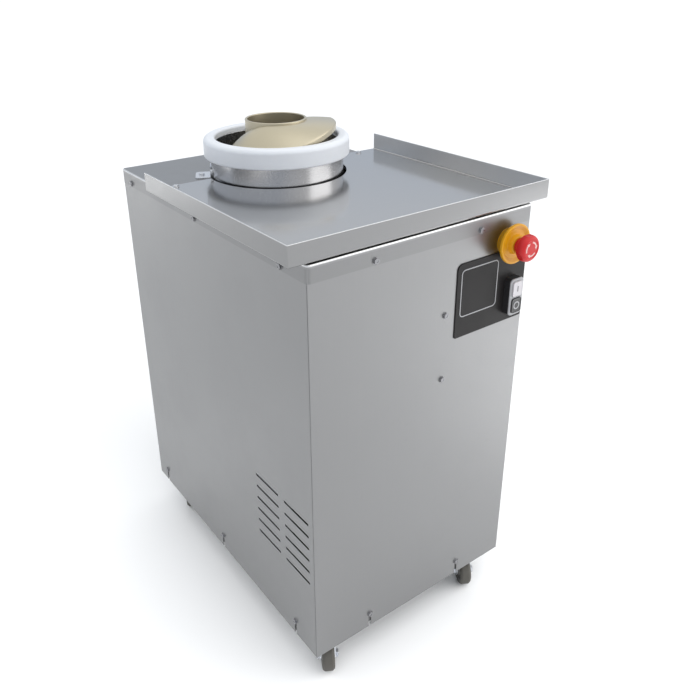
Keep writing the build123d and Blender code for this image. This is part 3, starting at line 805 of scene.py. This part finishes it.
def makeAuger():
    low, base, edge, rim = auger["low"], auger["baseTop"], auger["edge"], auger["rimEdge"]
    hub, hubTop = auger["hub"], auger["hubTop"]
    body = spinSection("auger_flight", [
        (0, low), (auger["radius"], low, edge), (auger["radius"], base, edge),
        (hub, base), (hub, hubTop, auger["hubEdge"]), (0, hubTop)], 4, largeSides)
    collar = spinSection("collar", [
        (auger["bore"], base - auger["sink"]), (auger["collar"], base - auger["sink"]),
        (auger["collar"], auger["top"], rim), (auger["bore"], auger["top"], rim)], 4, largeSides)
    cutAway(collar, makeWindow())
    fuse(collar, makeFlight())
    fuse(body, collar)
    half = auger["square"] / 2
    cutAway(body, addBlock("socket", (-half, -half, low - reach), (half, half, low + auger["squareDepth"])))
    place(body, (0, drumY, 0))
    dress(body, "auger", "auger", "auger_champagne", "auger", smooth=38)


makeAuger()
print("auger made")

# screws: one hexagon head with a washer face, copied to every place
turns = {"front": (90, 0, 0), "back": (-90, 0, 0), "left": (0, -90, 0), "right": (0, 90, 0), "up": (0, 0, 0)}


def makeScrewHead():
    height, washer = screws["height"], screws["flangeHeight"]
    head = addHex("screw", screws["across"], washer / 2, height)
    bevelEdges(head, screws["hexEdge"], 2, above(height))
    flange = addRound("flange", screws["flange"], 0, washer, sides=32)
    bevelEdges(flange, screws["flangeEdge"], 2, above(washer))
    fuse(head, flange)
    low = height - screws["dimpleDeep"]
    return cutAway(head, addRound("dimple", screws["dimple"], low, height + reach, sides=24))


def setScrews(name, spots, node, finish):
    head = makeScrewHead()
    copies = [place(copyOf(head, "screw"), spot, turns[way]) for spot, way in spots]
    bpy.data.objects.remove(head)
    piece = named(gather(*copies), name)
    dress(piece, finish, "cabinet", "plated_steel", node, smooth=30)


def makeScrews():
    topZ, lowZ = screws["topZ"], screws["lowZ"]
    spots = []
    for x in screws["frontX"]:
        spots += [((x, machine["front"], topZ), "front"), ((x, panelFront, lowZ), "front"),
                  ((x, panelBack, lowZ), "back")]
    for y in screws["sideY"]:
        for side, way in ((-1, "left"), (1, "right")):
            spots += [((side * machine["halfWidth"], y, topZ), way), ((side * panelX, y, lowZ), way)]
    spots += [((screws["bracketX"], panelFront, z), "front") for z in screws["bracketZ"]]
    setScrews("cabinet_screw_heads", spots, "cabinet_screws", "screw")
    spots = [((side * screws["trayX"], y, trayFloor), "up") for side in (-1, 1) for y in screws["trayY"]]
    for angle in screws["clipAngles"]:
        x = screws["clipRadius"] * cos(radians(angle))
        y = drumY + screws["clipRadius"] * sin(radians(angle))
        spots.append(((x, y, screws["clipZ"]), "up"))
    setScrews("tray_screw_heads", spots, "tray_screws", "plated")


makeScrews()
print("screws made")

# control plate with a bare framed field
plate = {"left": 54.0, "right": 196.0, "low": 532.0, "high": 648.0, "thick": 1.5,
         "round": 10.0, "small": 3.0, "edge": 0.35, "footHole": 20.3, "field": (62.0, 137.0, 564.0, 638.0),
         "fieldRound": 7.0, "line": 1.5, "lineHeight": 0.25, "lineRoom": 2.0}


def makePlate():
    corners = boxCorners(plate["left"], plate["right"], plate["low"], plate["high"], plate["small"])
    corners[3] = (plate["left"], plate["high"], plate["round"])
    sheet = onFront(liftOutline("control_plate_skin", corners, plate["thick"]))
    cutAway(sheet, *controlCutters(plate["footHole"], 96))
    soften(sheet, plate["edge"])
    dress(sheet, "plate", "cabinet", "control_dark", "control_plate")


def makeFieldLine():
    left, right, low, high = plate["field"]
    size, wide, tall, room = plate["fieldRound"], plate["line"], plate["lineHeight"], plate["lineRoom"]
    line = liftOutline("field_line", boxCorners(left, right, low, high, size), tall, 8)
    corners = boxCorners(left + wide, right - wide, low + wide, high - wide, size - wide)
    cutAway(line, place(liftOutline("inside", corners, tall + 2 * room, 8), (0, 0, -room)))
    dress(onFront(line, out=plate["thick"]), "line", "cabinet", "control_dark")


makePlate()
makeFieldLine()

# emergency stop: dished yellow collar and red mushroom head
stop = {
    "bore": 10.05, "foot": 20.0, "collar": 30.0, "collarHigh": 18.0, "rim": 4.0, "rimWide": 3.0,
    "dish": 3.0, "dishIn": 22.0, "boss": 13.5, "bossDraft": 1.5, "bossHigh": 23.0,
    "headLow": 28.0, "headHigh": 46.0, "head": 20.0, "headEdge": 0.5, "neck": 13.5, "neckDraft": 1.0,
    "neckHigh": 32.0, "skirt": 2.0, "crown": 7.0, "crownDrop": 1.0,
    "face": 13.0, "faceDeep": 0.8, "faceEdge": 1.2, "faceDome": 0.2,
    "grips": 3, "gripFirst": 90.0, "gripRadius": 26.0, "gripDeep": 1.4, "gripLow": 1.0,
}
arrow = {"count": 3, "start": 80.0, "long": 62.0, "steps": 12, "tip": 28.0, "radius": 10.1, "wide": 2.2,
         "wing": 2.7, "high": 0.25, "sink": 0.3}


def makeStopCollar():
    top, outer, boss = stop["collarHigh"], stop["collar"], stop["boss"]
    dish = top - stop["dish"]
    collar = spinSection("stop_collar", [
        (stop["bore"], 0), (stop["foot"], 0), (stop["foot"], plate["thick"]),
        (outer, top - stop["rim"], 1.2), (outer, top, 1.2), (outer - stop["rimWide"], top, 1.0),
        (stop["dishIn"], dish, 2.0), (boss + stop["bossDraft"], dish, 1.5),
        (boss, stop["bossHigh"], 1.5), (stop["bore"], stop["bossHigh"], 0.5)], 5, 128)
    onFront(collar, *openings["stop"])
    dress(collar, "yellow", "cabinet", "estop_yellow", "estop_collar", smooth=40)


def makeStopHead():
    low, high, radius = stop["headLow"], stop["headHigh"], stop["head"]
    neck, neckHigh, face = stop["neck"], stop["neckHigh"], stop["face"]
    dip = high - stop["faceDeep"]
    head = spinSection("stop_head", [
        (0, low), (neck, low, 0.8), (neck + stop["neckDraft"], neckHigh, 2.0),
        (radius, neckHigh + stop["skirt"], 2.0), (radius, high - stop["crownDrop"], stop["crown"]),
        (face + stop["faceEdge"], high, 0.8), (face, dip, 0.5), (0, dip + stop["faceDome"])], 6, 144)
    # shallow finger grips round the head
    far = stop["gripRadius"] + radius - stop["gripDeep"]
    cutGrips(head, stop["grips"], stop["gripFirst"], far,
             stop["gripRadius"], neckHigh + stop["gripLow"], high + reach, 96)
    soften(head, stop["headEdge"])
    onFront(head, *openings["stop"])
    dress(head, "red", "estop_head", "estop_red", "estop_head", smooth=45)


def makeArrows():
    # curved arrows that show the way to twist, laid just inside the head's edge
    level, sink = stop["headHigh"] - stop["faceDeep"], arrow["sink"]
    middle, half, wing = arrow["radius"], arrow["wide"] / 2, arrow["wing"]
    arrows = []
    for index in range(arrow["count"]):
        first = 360 / arrow["count"] * index + arrow["start"]
        angles = [first - arrow["long"] * step / arrow["steps"] for step in range(arrow["steps"] + 1)]
        last = angles[-1]
        path = [(angle, middle + half) for angle in angles]
        path += [(last, middle + wing), (last - arrow["tip"], middle), (last, middle - wing)]
        path += [(angle, middle - half) for angle in reversed(angles)]
        points = [(radius * cos(radians(angle)), radius * sin(radians(angle))) for angle, radius in path]
        arrows.append(place(liftOutline("arrow", points[::-1], arrow["high"] + sink), (0, 0, level - sink)))
    piece = named(gather(*arrows), "twist_arrows")
    dress(onFront(piece, *openings["stop"]), "arrow", "estop_head", "estop_red")


makeStopCollar()
makeStopHead()
makeArrows()

# twin push switch
switch = {
    "half": (14.0, 29.5), "low": 1.5, "high": 14.0, "round": 6.0, "edge": 1.4, "innerEdge": 0.25,
    "bezelDeep": 2.0, "boss": (12.0, 27.0), "bossLow": -3.0, "bossIn": 1.0, "bossRound": 1.5,
    "pocket": (10.3, 11.8), "pocketRound": 3.3, "pocketLow": -10.0, "pocketHigh": 30.0, "spacing": 13.5,
    "button": (10.0, 11.5), "buttonLow": 0.3, "buttonHigh": 16.5, "buttonRound": 3.0, "buttonEdge": 0.54,
    "dish": 0.7, "dishRim": 1.6, "markHeight": 0.2, "markSink": 0.3, "markBar": (0.9, 4.6), "markRound": 0.6,
    "markRing": (4.4, 6.4),
}


def onSwitch(piece, side=0):
    # side is 1 for the upper button, -1 for the lower one
    return onFront(place(piece, (0, side * switch["spacing"], 0)), *openings["switch"])


def makeSwitch():
    front = switch["high"] - switch["bezelDeep"]
    housing = softBlock("switch_body", switch["half"], switch["low"], front, switch["round"])
    fuse(housing, softBlock("boss", switch["boss"], switch["bossLow"], switch["low"] + switch["bossIn"],
                            switch["bossRound"]))
    bezel = softBlock("switch_bezel", switch["half"], front, switch["high"], switch["round"])
    bevelEdges(bezel, switch["edge"], 3, above(switch["high"]))
    for shell in (housing, bezel):
        for side in (-1, 1):
            pocket = softBlock("pocket", switch["pocket"], switch["pocketLow"], switch["pocketHigh"],
                               switch["pocketRound"])
            cutAway(shell, place(pocket, (0, side * switch["spacing"], 0)))
        onSwitch(soften(shell, switch["innerEdge"]))
    dress(housing, "dark", "cabinet", "control_dark", "switch_housing")
    dress(bezel, "bezel", "cabinet", "control_dark")


def makeButton(name, side, finish, body, slot, node):
    button = softBlock(name, switch["button"], switch["buttonLow"], switch["buttonHigh"],
                       switch["buttonRound"])
    editChosen(button, "FACE", lambda middle, way: way.z > straight)
    bpy.ops.mesh.inset(thickness=switch["dishRim"] * mm, depth=0)
    bpy.ops.transform.translate(value=(0, 0, -switch["dish"] * mm))
    leaveEdit()
    soften(button, switch["buttonEdge"], 3, 20)
    dress(onSwitch(button, side), finish, body, slot, node)


def makeMarks():
    face = switch["buttonHigh"] - switch["dish"]
    low, high = face - switch["markSink"], face + switch["markHeight"]
    bar = softBlock("start_mark", switch["markBar"], low, high, switch["markRound"], 3)
    dress(onSwitch(bar, 1), "mark", "start_button", "button_white")
    circle = spinSection("stop_mark", boxCorners(*switch["markRing"], low, high), 1, 64)
    dress(onSwitch(circle, -1), "line", "stop_button", "button_black")


makeSwitch()
makeButton("start_cap", 1, "white", "start_button", "button_white", "start_button")
makeButton("stop_cap", -1, "black", "stop_button", "button_black", "stop_button")
makeMarks()
print("controls made")

# casters: made once at the swivel axis with the wheel trailing to the front
caster = {
    "spots": {"front_left": (-151.0, -221.0), "front_right": (151.0, -221.0),
              "rear_left": (-151.0, 264.0), "rear_right": (151.0, 264.0)},
    "turn": -30.0, "trail": 26.0, "wheel": 25.0, "half": 10.0, "tyreIn": 17.0, "tyreSide": 1.0,
    "shoulder": 3.0, "tread": 4.0, "bore": 4.05, "hubBoss": 8.0, "hubFace": 9.6, "hubWeb": 5.5,
    "hubDraft": 1.2, "rimDeep": 1.2, "rimFoot": 2.2, "rimTop": 1.4,
    "legIn": 10.5, "legOut": 13.0, "eye": 8.0, "eyeFlat": 0.6, "crownLow": 57.7, "crownHigh": 60.7,
    "crownFront": 18.0, "crownRear": 12.0, "forkEdge": 0.45, "race": (11.0, 16.0, 17.5), "raceDeep": 2.2,
    "raceIn": 1.0, "axle": 4.0, "axleHead": 12.0, "axleHeadHigh": 4.0,
    "post": 6.05, "postPlay": 0.05, "postHole": (40.0, 70.0), "overlap": 0.5,
    "plate": 28.0, "plateLow": 61.0, "plateHigh": 64.0, "plateRound": 5.0, "plateEdge": 0.4,
    "nut": 17.0, "nutLow": 53.4, "nutHigh": 57.4,
    "boltAt": 21.5, "boltHigh": 2.6, "boltIn": 0.2, "boltEdge": 0.4,
}


def makeFork():
    trail, axleZ, eye, legOut = caster["trail"], caster["wheel"], caster["eye"], caster["legOut"]
    low, high, flat = caster["crownLow"], caster["crownHigh"], eye * caster["eyeFlat"]
    leg = liftOutline("fork", [
        (caster["crownRear"], high, 2.0), (eye - trail, axleZ, 6.0), (flat - trail, axleZ - eye, 4.0),
        (-flat - trail, axleZ - eye, 4.0), (-eye - trail, axleZ, 6.0), (-caster["crownFront"], high, 2.0)],
        legOut - caster["legIn"], 5)
    place(leg, turn=(90, 0, 90))  # outline plane becomes YZ, thickness runs along X
    other = place(copyOf(leg, "leg"), (-legOut, 0, 0))
    place(leg, (caster["legIn"], 0, 0))
    crown = addBlock("crown", (-legOut, -caster["crownFront"], low), (legOut, caster["crownRear"], high))
    inner, outer, top = caster["race"]
    raceLow, raceHigh = low - caster["raceDeep"], low + caster["raceIn"]
    race = spinSection("race", [
        (inner, raceLow, 0.8), (outer, raceLow, 1.2), (top, raceHigh), (inner, raceHigh)], 3, 64)
    fuse(leg, other, crown, race)
    cutAway(leg, addRound("hole", caster["post"], *caster["postHole"], sides=64))
    soften(leg, caster["forkEdge"])
    axle = addRound("axle", caster["axle"], -legOut, legOut, sides=48)
    far = legOut + caster["axleHeadHigh"]
    gather(axle, *[hexBar("nut", caster["axleHead"], *ends) for ends in ((legOut, far), (-far, -legOut))])
    return gather(leg, place(axle, (0, -trail, axleZ), (0, 90, 0)))


def makeWheel():
    # tyre and hub, lying flat
    radius, half, inner = caster["wheel"], caster["half"], caster["tyreIn"]
    shoulder, side, tread = radius - caster["shoulder"], half - caster["tyreSide"], half - caster["tread"]
    tyre = spinSection("tyre", [
        (inner, -side, 0.5), (shoulder, -half, 2.0), (radius, -tread, 3.0),
        (radius, tread, 3.0), (shoulder, half, 2.0), (inner, side, 0.5)], 5, 96)
    boss, face, web, rim = caster["hubBoss"], caster["hubFace"], caster["hubWeb"], half - caster["rimDeep"]
    upper = [(caster["bore"], face, 0), (boss, face, 1.0), (boss + caster["hubDraft"], web, 1.0),
             (inner - caster["rimFoot"], web, 1.0), (inner - caster["rimTop"], rim, 0.6), (inner, rim, 0)]
    lower = [(a, -b, size) for a, b, size in reversed(upper)]
    return tyre, spinSection("hub", upper + lower, 4, 96)


def boltPattern(y, far, *sizes):
    # one hexagon bolt in each of four corners
    return [place(hexBar("bolt", *sizes), (across * far, y + back * far, 0))
            for across in (-1, 1) for back in (-1, 1)]


def makeCasterPlate():
    size, low, lap = caster["plate"], caster["plateLow"], caster["overlap"]
    piece = softBlock("caster_top", (size, size), low, caster["plateHigh"], caster["plateRound"])
    soften(piece, caster["plateEdge"])
    post = addRound("post", caster["post"] - caster["postPlay"], caster["nutHigh"] - lap, low + lap, sides=48)
    nut = hexBar("nut", caster["nut"], caster["nutLow"], caster["nutHigh"])
    bolts = boltPattern(0, caster["boltAt"], screws["across"], low - caster["boltHigh"],
                        low + caster["boltIn"], caster["boltEdge"])
    return gather(piece, post, nut, *bolts)


def makeCasters():
    fork, (tyre, hub), top = makeFork(), makeWheel(), makeCasterPlate()
    for part in (tyre, hub):
        place(part, (0, -caster["trail"], caster["wheel"]), (0, 90, 0))
    tops = []
    for corner, spot in caster["spots"].items():
        spot, turn = (*spot, 0), (0, 0, caster["turn"])
        piece = place(copyOf(fork, corner + "_fork_body"), spot, turn)
        dress(piece, "plated", corner + "_swivel", "plated_steel", corner + "_fork")
        piece = place(copyOf(tyre, corner + "_tyre"), spot, turn)
        dress(piece, "tyre", corner + "_wheel", "wheel_rubber", corner + "_wheel", smooth=40)
        piece = place(copyOf(hub, corner + "_hub"), spot, turn)
        dress(piece, "hub", corner + "_wheel", "wheel_rubber")
        tops.append(place(copyOf(top, corner + "_top"), spot))
    for part in (fork, tyre, hub, top):
        bpy.data.objects.remove(part)
    dress(named(gather(*tops), "caster_top_plates"), "plated", "cabinet", "plated_steel", "caster_plates")


makeCasters()
print("casters made")

# drive under the drum: finned motor, gearbox, terminal box
motor = {"front": -151.0, "long": 210.0, "z": 480.5, "shell": 44.0, "cowl": 50.0, "cowlLong": 52.0,
         "cowlEdge": 4.0, "face": 2.0, "grooves": (14.0, 22.0, 30.0, 38.0), "grooveWide": 4.0,
         "grooveEnd": 5.0, "shield": 49.0, "shieldFrom": 184.0, "lap": 1.0,
         "flangeFrom": 200.0, "flange": 53.0, "flangeRound": 10.0, "flangeEdge": 0.8,
         "fins": 32, "finIn": 2.0, "finOut": 49.6, "finThick": 2.0, "finEdge": 0.6, "finClear": 50.0}
gearbox = {"half": 55.0, "low": 427.5, "high": 540.5, "round": 7.0, "flatFace": 0.99, "recessRim": 9.0,
           "recess": 2.5, "lap": 1.0, "plateHalf": 75.0, "plateHigh": 552.5, "plateRound": 10.0,
           "edge": 0.8, "bore": 15.05, "boreLow": 462.5, "boreHigh": 560.0,
           "boltAt": 65.0, "boltAcross": 13.0, "boltHigh": 5.0, "boltEdge": 0.8}
terminal = {"x": (35.7, 86.0), "y": (-81.0, -11.0), "z": (445.5, 515.5), "lid": 90.0, "round": 5.0,
            "edge": 0.6, "play": 0.01, "screwIn": 7.0, "sink": 3.2, "sinkDeep": 1.5}


def lyingAlong(piece):
    return place(piece, (0, motor["front"], motor["z"]), (-90, 0, 0))


def makeMotor():
    cowl, edge, cowlEnd = motor["cowl"], motor["cowlEdge"], motor["cowlLong"]
    shell, shield, shieldFrom = motor["shell"], motor["shield"], motor["shieldFrom"]
    face, lap = motor["face"], motor["lap"]
    section = [(0, face)]
    for inner in motor["grooves"]:
        outer = inner + motor["grooveWide"]
        section += [(inner, face), (inner, motor["grooveEnd"]), (outer, motor["grooveEnd"]), (outer, face)]
    section += [(cowl - edge, 0, 1.0), (cowl, edge, 3.0), (cowl, cowlEnd, 1.0), (shell, cowlEnd),
                (shell, shieldFrom), (shield, shieldFrom, 1.5),
                (shield, motor["flangeFrom"] + lap), (0, motor["flangeFrom"] + lap)]
    body = spinSection("motor_body", section, 4, 96)
    half, thick = motor["flange"], motor["finThick"] / 2
    flange = softBlock("flange", (half, half), motor["flangeFrom"], motor["long"], motor["flangeRound"])
    fins = []
    for index in range(motor["fins"]):
        angle = 360 / motor["fins"] * (index + 0.5)
        if abs((angle + 180) % 360 - 180) < motor["finClear"]:
            continue  # the terminal box sits here
        fin = addBlock("fin", (shell - motor["finIn"], -thick, cowlEnd - lap),
                       (motor["finOut"], thick, shieldFrom + lap))
        bevelEdges(fin, motor["finEdge"], 2, lambda middle, way: upright(middle, way) and middle.x > shell)
        fins.append(place(fin, turn=(0, 0, angle)))
    gather(body, soften(flange, motor["flangeEdge"]), *fins)
    dress(lyingAlong(body), "paint", "cabinet", "motor_paint", "gear_motor")


def makeGearbox():
    half, low, high, wide = gearbox["half"], gearbox["low"], gearbox["high"], gearbox["plateHalf"]
    box = addBlock("gear_case", (-half, drumY - half, low), (half, drumY + half, high + gearbox["lap"]))
    bevelEdges(box, gearbox["round"], 4, lambda middle, way: middle.z < high)
    # shallow recesses in the free sides
    editChosen(box, "FACE", lambda middle, way: max(abs(way.x), way.y, -way.z) > gearbox["flatFace"])
    bpy.ops.mesh.inset(thickness=gearbox["recessRim"] * mm, depth=-gearbox["recess"] * mm,
                       use_individual=True)
    leaveEdit()
    top = softBlock("flange", (wide, wide), high, gearbox["plateHigh"], gearbox["plateRound"])
    fuse(box, place(top, (0, drumY, 0)))
    cutAway(box, addRound("bore", gearbox["bore"], gearbox["boreLow"], gearbox["boreHigh"], (0, drumY), 64))
    soften(box, gearbox["edge"])
    dress(box, "paint", "cabinet", "motor_paint", "gearbox")
    bolts = boltPattern(drumY, gearbox["boltAt"], gearbox["boltAcross"], high - gearbox["boltHigh"], high,
                        gearbox["boltEdge"])
    piece = named(gather(*bolts), "gear_case_bolts")
    dress(piece, "plated", "cabinet", "plated_steel", "gearbox_bolts", smooth=30)


def makeTerminal():
    (left, right), (front, back), (low, high) = terminal["x"], terminal["y"], terminal["z"]
    box = addBlock("terminal_case", (left, front, low), (right, back, high))
    lid = addBlock("terminal_cover", (right, front, low), (terminal["lid"], back, high))
    for case in (box, lid):
        bevelEdges(case, terminal["round"], 4, crosswise)
    cutAway(box, lyingAlong(addRound("core", motor["cowl"] + terminal["play"], 0, motor["long"], sides=192)))
    dress(box, "paint", "cabinet", "motor_paint", "terminal_box")
    inset = terminal["screwIn"]
    spots = [(terminal["lid"], y, z)
             for y in (front + inset, back - inset) for z in (low + inset, high - inset)]
    sinkHoles(lid, spots, turns["right"], terminal["sink"], terminal["sinkDeep"], 24)
    soften(lid, terminal["edge"])
    dress(lid, "paint", "cabinet", "motor_paint", "terminal_lid")


makeMotor()
makeGearbox()
makeTerminal()

# cable gland on the right panel
gland = {"y": 229.0, "z": 130.0, "across": 24.0, "hexHigh": 6.0, "hexEdge": 0.7, "lap": 0.5,
         "cap": 9.9, "capSide": 13.0, "capHigh": 18.0, "capTop": 2.4, "bore": 4.5,
         "grips": 12, "grip": 1.0, "gripOut": 0.35, "gripFrom": 0.8, "gripTo": 14.0}


def makeGland():
    bore, outer, high, hexHigh = gland["bore"], gland["cap"], gland["capHigh"], gland["hexHigh"]
    base = hexBar("gland_body", gland["across"], 0, hexHigh, gland["hexEdge"])
    cap = spinSection("cap", [
        (bore, hexHigh - gland["lap"]), (outer, hexHigh - gland["lap"]), (outer, gland["capSide"], 2.0),
        (bore + gland["capTop"], high, 1.2), (bore, high, 0.5)], 5, 72)
    cutGrips(cap, gland["grips"], 0, outer + gland["gripOut"],
             gland["grip"], hexHigh + gland["gripFrom"], gland["gripTo"], 16)
    place(gather(base, cap), (panelX, gland["y"], gland["z"]), turns["right"])
    dress(base, "dark", "cabinet", "control_dark", "cable_gland")


makeGland()

# contactor on its bracket behind the front panel
relay = {"x": (12.5, 57.5), "y": (-261.0, -191.0), "z": (538.1, 613.1), "edge": 1.0,
         "notch": 15.0, "notchDeep": 16.0, "terminals": 3, "hole": 4.0, "holeDeep": 6.0}


def makeRelay():
    (left, right), (front, back), (low, high) = relay["x"], relay["y"], relay["z"]
    notch, deep = relay["notch"], back - relay["notchDeep"]
    body = addBlock("contactor_case", (left, front, low), (right, back, high))
    for first, last in ((low - reach, low + notch), (high - notch, high + reach)):
        cutAway(body, addBlock("notch", (left - reach, deep, first), (right + reach, back + reach, last)))
    soften(body, relay["edge"])
    pitch = (right - left) / relay["terminals"]
    spots = [(left + pitch * (index + 0.5), deep, z)
             for index in range(relay["terminals"]) for z in (low + notch / 2, high - notch / 2)]
    sinkHoles(body, spots, turns["back"], relay["hole"], relay["holeDeep"], 32)
    dress(body, "block", "cabinet", "block_grey", "contactor")


makeRelay()
print("drive made")

# CAD nodes that stay as they are and only take a finish
keptNodes = {
    "frame": ["base_rails", "upper_frame", "caster_gussets", "spindle_plate"],
    "plated": ["tray_spacers", "spindle", "contactor_bracket"],
    "red": ["estop_stem"],
    "block": ["estop_contacts", "switch_contacts"],
}
for finishName, nodeNames in keptNodes.items():
    for nodeName in nodeNames:
        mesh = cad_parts[nodeName].data
        mesh.materials.clear()
        mesh.materials.append(finishes[finishName])
print("inner pieces dressed")

# floor, light and camera; places of the lamps are in metres
studio = {
    "floor": 60.0, "floorShade": (0.89, 0.91), "floorCloud": (1.5, 3.0, 0.55), "floorRough": 0.9,
    "wallLow": 0.12, "wallHigh": 0.52, "wall": (0.45, 0.53, 0.66), "ceiling": (1.09, 1.11, 1.125),
    "brightWall": (1.05, 1.04, 1.03), "brightWay": (0.7, -0.7, 0.0), "brightFrom": 0.2, "brightTo": 0.95,
    "sunFrom": (0.25, -0.45, 0.86), "sunPower": 0.6, "sunWide": 60.0,
    "camera": (-644.6, -934.0, 1034.7), "yaw": 35.54, "pitch": 24.07, "roll": -0.752,
    "lens": 37.92, "sensor": 36.0, "shiftX": 0.0295, "shiftY": -0.0831,
}
# a window to the right, and low lamps that only brighten the floor that the metal mirrors
lamps = {
    "window_right": {"spot": (2.1, -1.9, 1.5), "aim": (0, 0, 0.4), "size": (2.5, 1.6), "power": 18.0},
    "floor_right": {"spot": (1.62, -1.14, 0.3), "turn": -36.0, "size": (2.5, 0.45), "power": 8.4},
    "floor_back": {"spot": (-1.3, 2.75, 0.5), "turn": 0.0, "size": (0.7, 0.7), "power": 4.0},
    "floor_left": {"spot": (-0.43, 0.05, 0.25), "turn": 0.0, "size": (0.3, 1.0), "power": 0.5},
    "floor_front": {"spot": (0.05, -0.48, 0.25), "turn": 0.0, "size": (0.6, 0.3), "power": 0.2},
}


def makeFloor():
    clearSelection()
    bpy.ops.mesh.primitive_plane_add(size=studio["floor"])
    floor = named(bpy.context.active_object, "studio_floor")
    finish, tree, shader, where = newFinish("pale_floor")
    dark, light = ((shade,) * 3 for shade in studio["floorShade"])
    cloud = noise(tree, where, *studio["floorCloud"])
    feed(tree, shader.inputs["Base Color"], blend(tree, cloud, dark, light))
    setConstants(shader, Roughness=studio["floorRough"])
    floor.data.materials.append(finish)


def makeRoom():
    # a cool wall, a bright one to the right, a bright ceiling, and plain white behind the machine
    world = bpy.data.worlds.new("studio")
    bpy.context.scene.world = world
    world.use_nodes = True
    tree = world.node_tree
    way = addNode(tree, "TexCoord", "Generated", {})
    height = addNode(tree, "SeparateXYZ", "Z", {"Vector": way})
    rise = remap(tree, height, studio["wallLow"], studio["wallHigh"])
    facing = addNode(tree, "VectorMath", "Value", {0: way, 1: studio["brightWay"]}, operation="DOT_PRODUCT")
    side = remap(tree, facing, studio["brightFrom"], studio["brightTo"])
    walls = blend(tree, side, studio["wall"], studio["brightWall"])
    room = tree.nodes["Background"]
    feed(tree, room.inputs["Color"], blend(tree, rise, walls, studio["ceiling"]))
    plain = addNode(tree, "Background", 0, {"Color": (1, 1, 1, 1)})
    seen = addNode(tree, "LightPath", "Is Camera Ray", {})
    shown = addNode(tree, "MixShader", 0, {0: seen, 1: room.outputs[0], 2: plain})
    feed(tree, tree.nodes["World Output"].inputs["Surface"], shown)


def lookAlong(way):
    return way.to_track_quat("-Z", "Y").to_euler()


def hangLight(name, kind, power, turn):
    holder = bpy.data.objects.new(name, bpy.data.lights.new(name, kind))
    holder.data.energy = power
    holder.rotation_euler = turn
    bpy.context.scene.collection.objects.link(holder)
    return holder


def makeLights():
    sun = hangLight("sun", "SUN", studio["sunPower"], lookAlong(-Vector(studio["sunFrom"])))
    sun.data.angle = radians(studio["sunWide"])
    for name, values in lamps.items():
        spot = Vector(values["spot"])
        if "aim" in values:
            turn = lookAlong(Vector(values["aim"]) - spot)
        else:
            turn = (0, 0, radians(values["turn"]))  # faces straight down
        lamp = hangLight(name, "AREA", values["power"], turn)
        lamp.data.shape = "RECTANGLE"
        lamp.data.size, lamp.data.size_y = values["size"]
        lamp.location = spot
        lamp.visible_camera = False


def makeCamera():
    lens = bpy.data.cameras.new("camera")
    lens.lens = studio["lens"]
    lens.sensor_fit = "HORIZONTAL"
    lens.sensor_width = studio["sensor"]
    lens.shift_x = studio["shiftX"]
    lens.shift_y = studio["shiftY"]
    camera = bpy.data.objects.new("camera", lens)
    turn = Matrix.Translation(Vector(studio["camera"]) * mm)
    for angle, axis in ((-studio["yaw"], "Z"), (90 - studio["pitch"], "X"), (studio["roll"], "Z")):
        turn = turn @ Matrix.Rotation(radians(angle), 4, axis)
    camera.matrix_world = turn
    bpy.context.scene.collection.objects.link(camera)
    bpy.context.scene.camera = camera
    bpy.context.scene.view_settings.view_transform = "Standard"


makeFloor()
makeRoom()
makeLights()
makeCamera()
print("studio made")

bpy.context.view_layer.update()
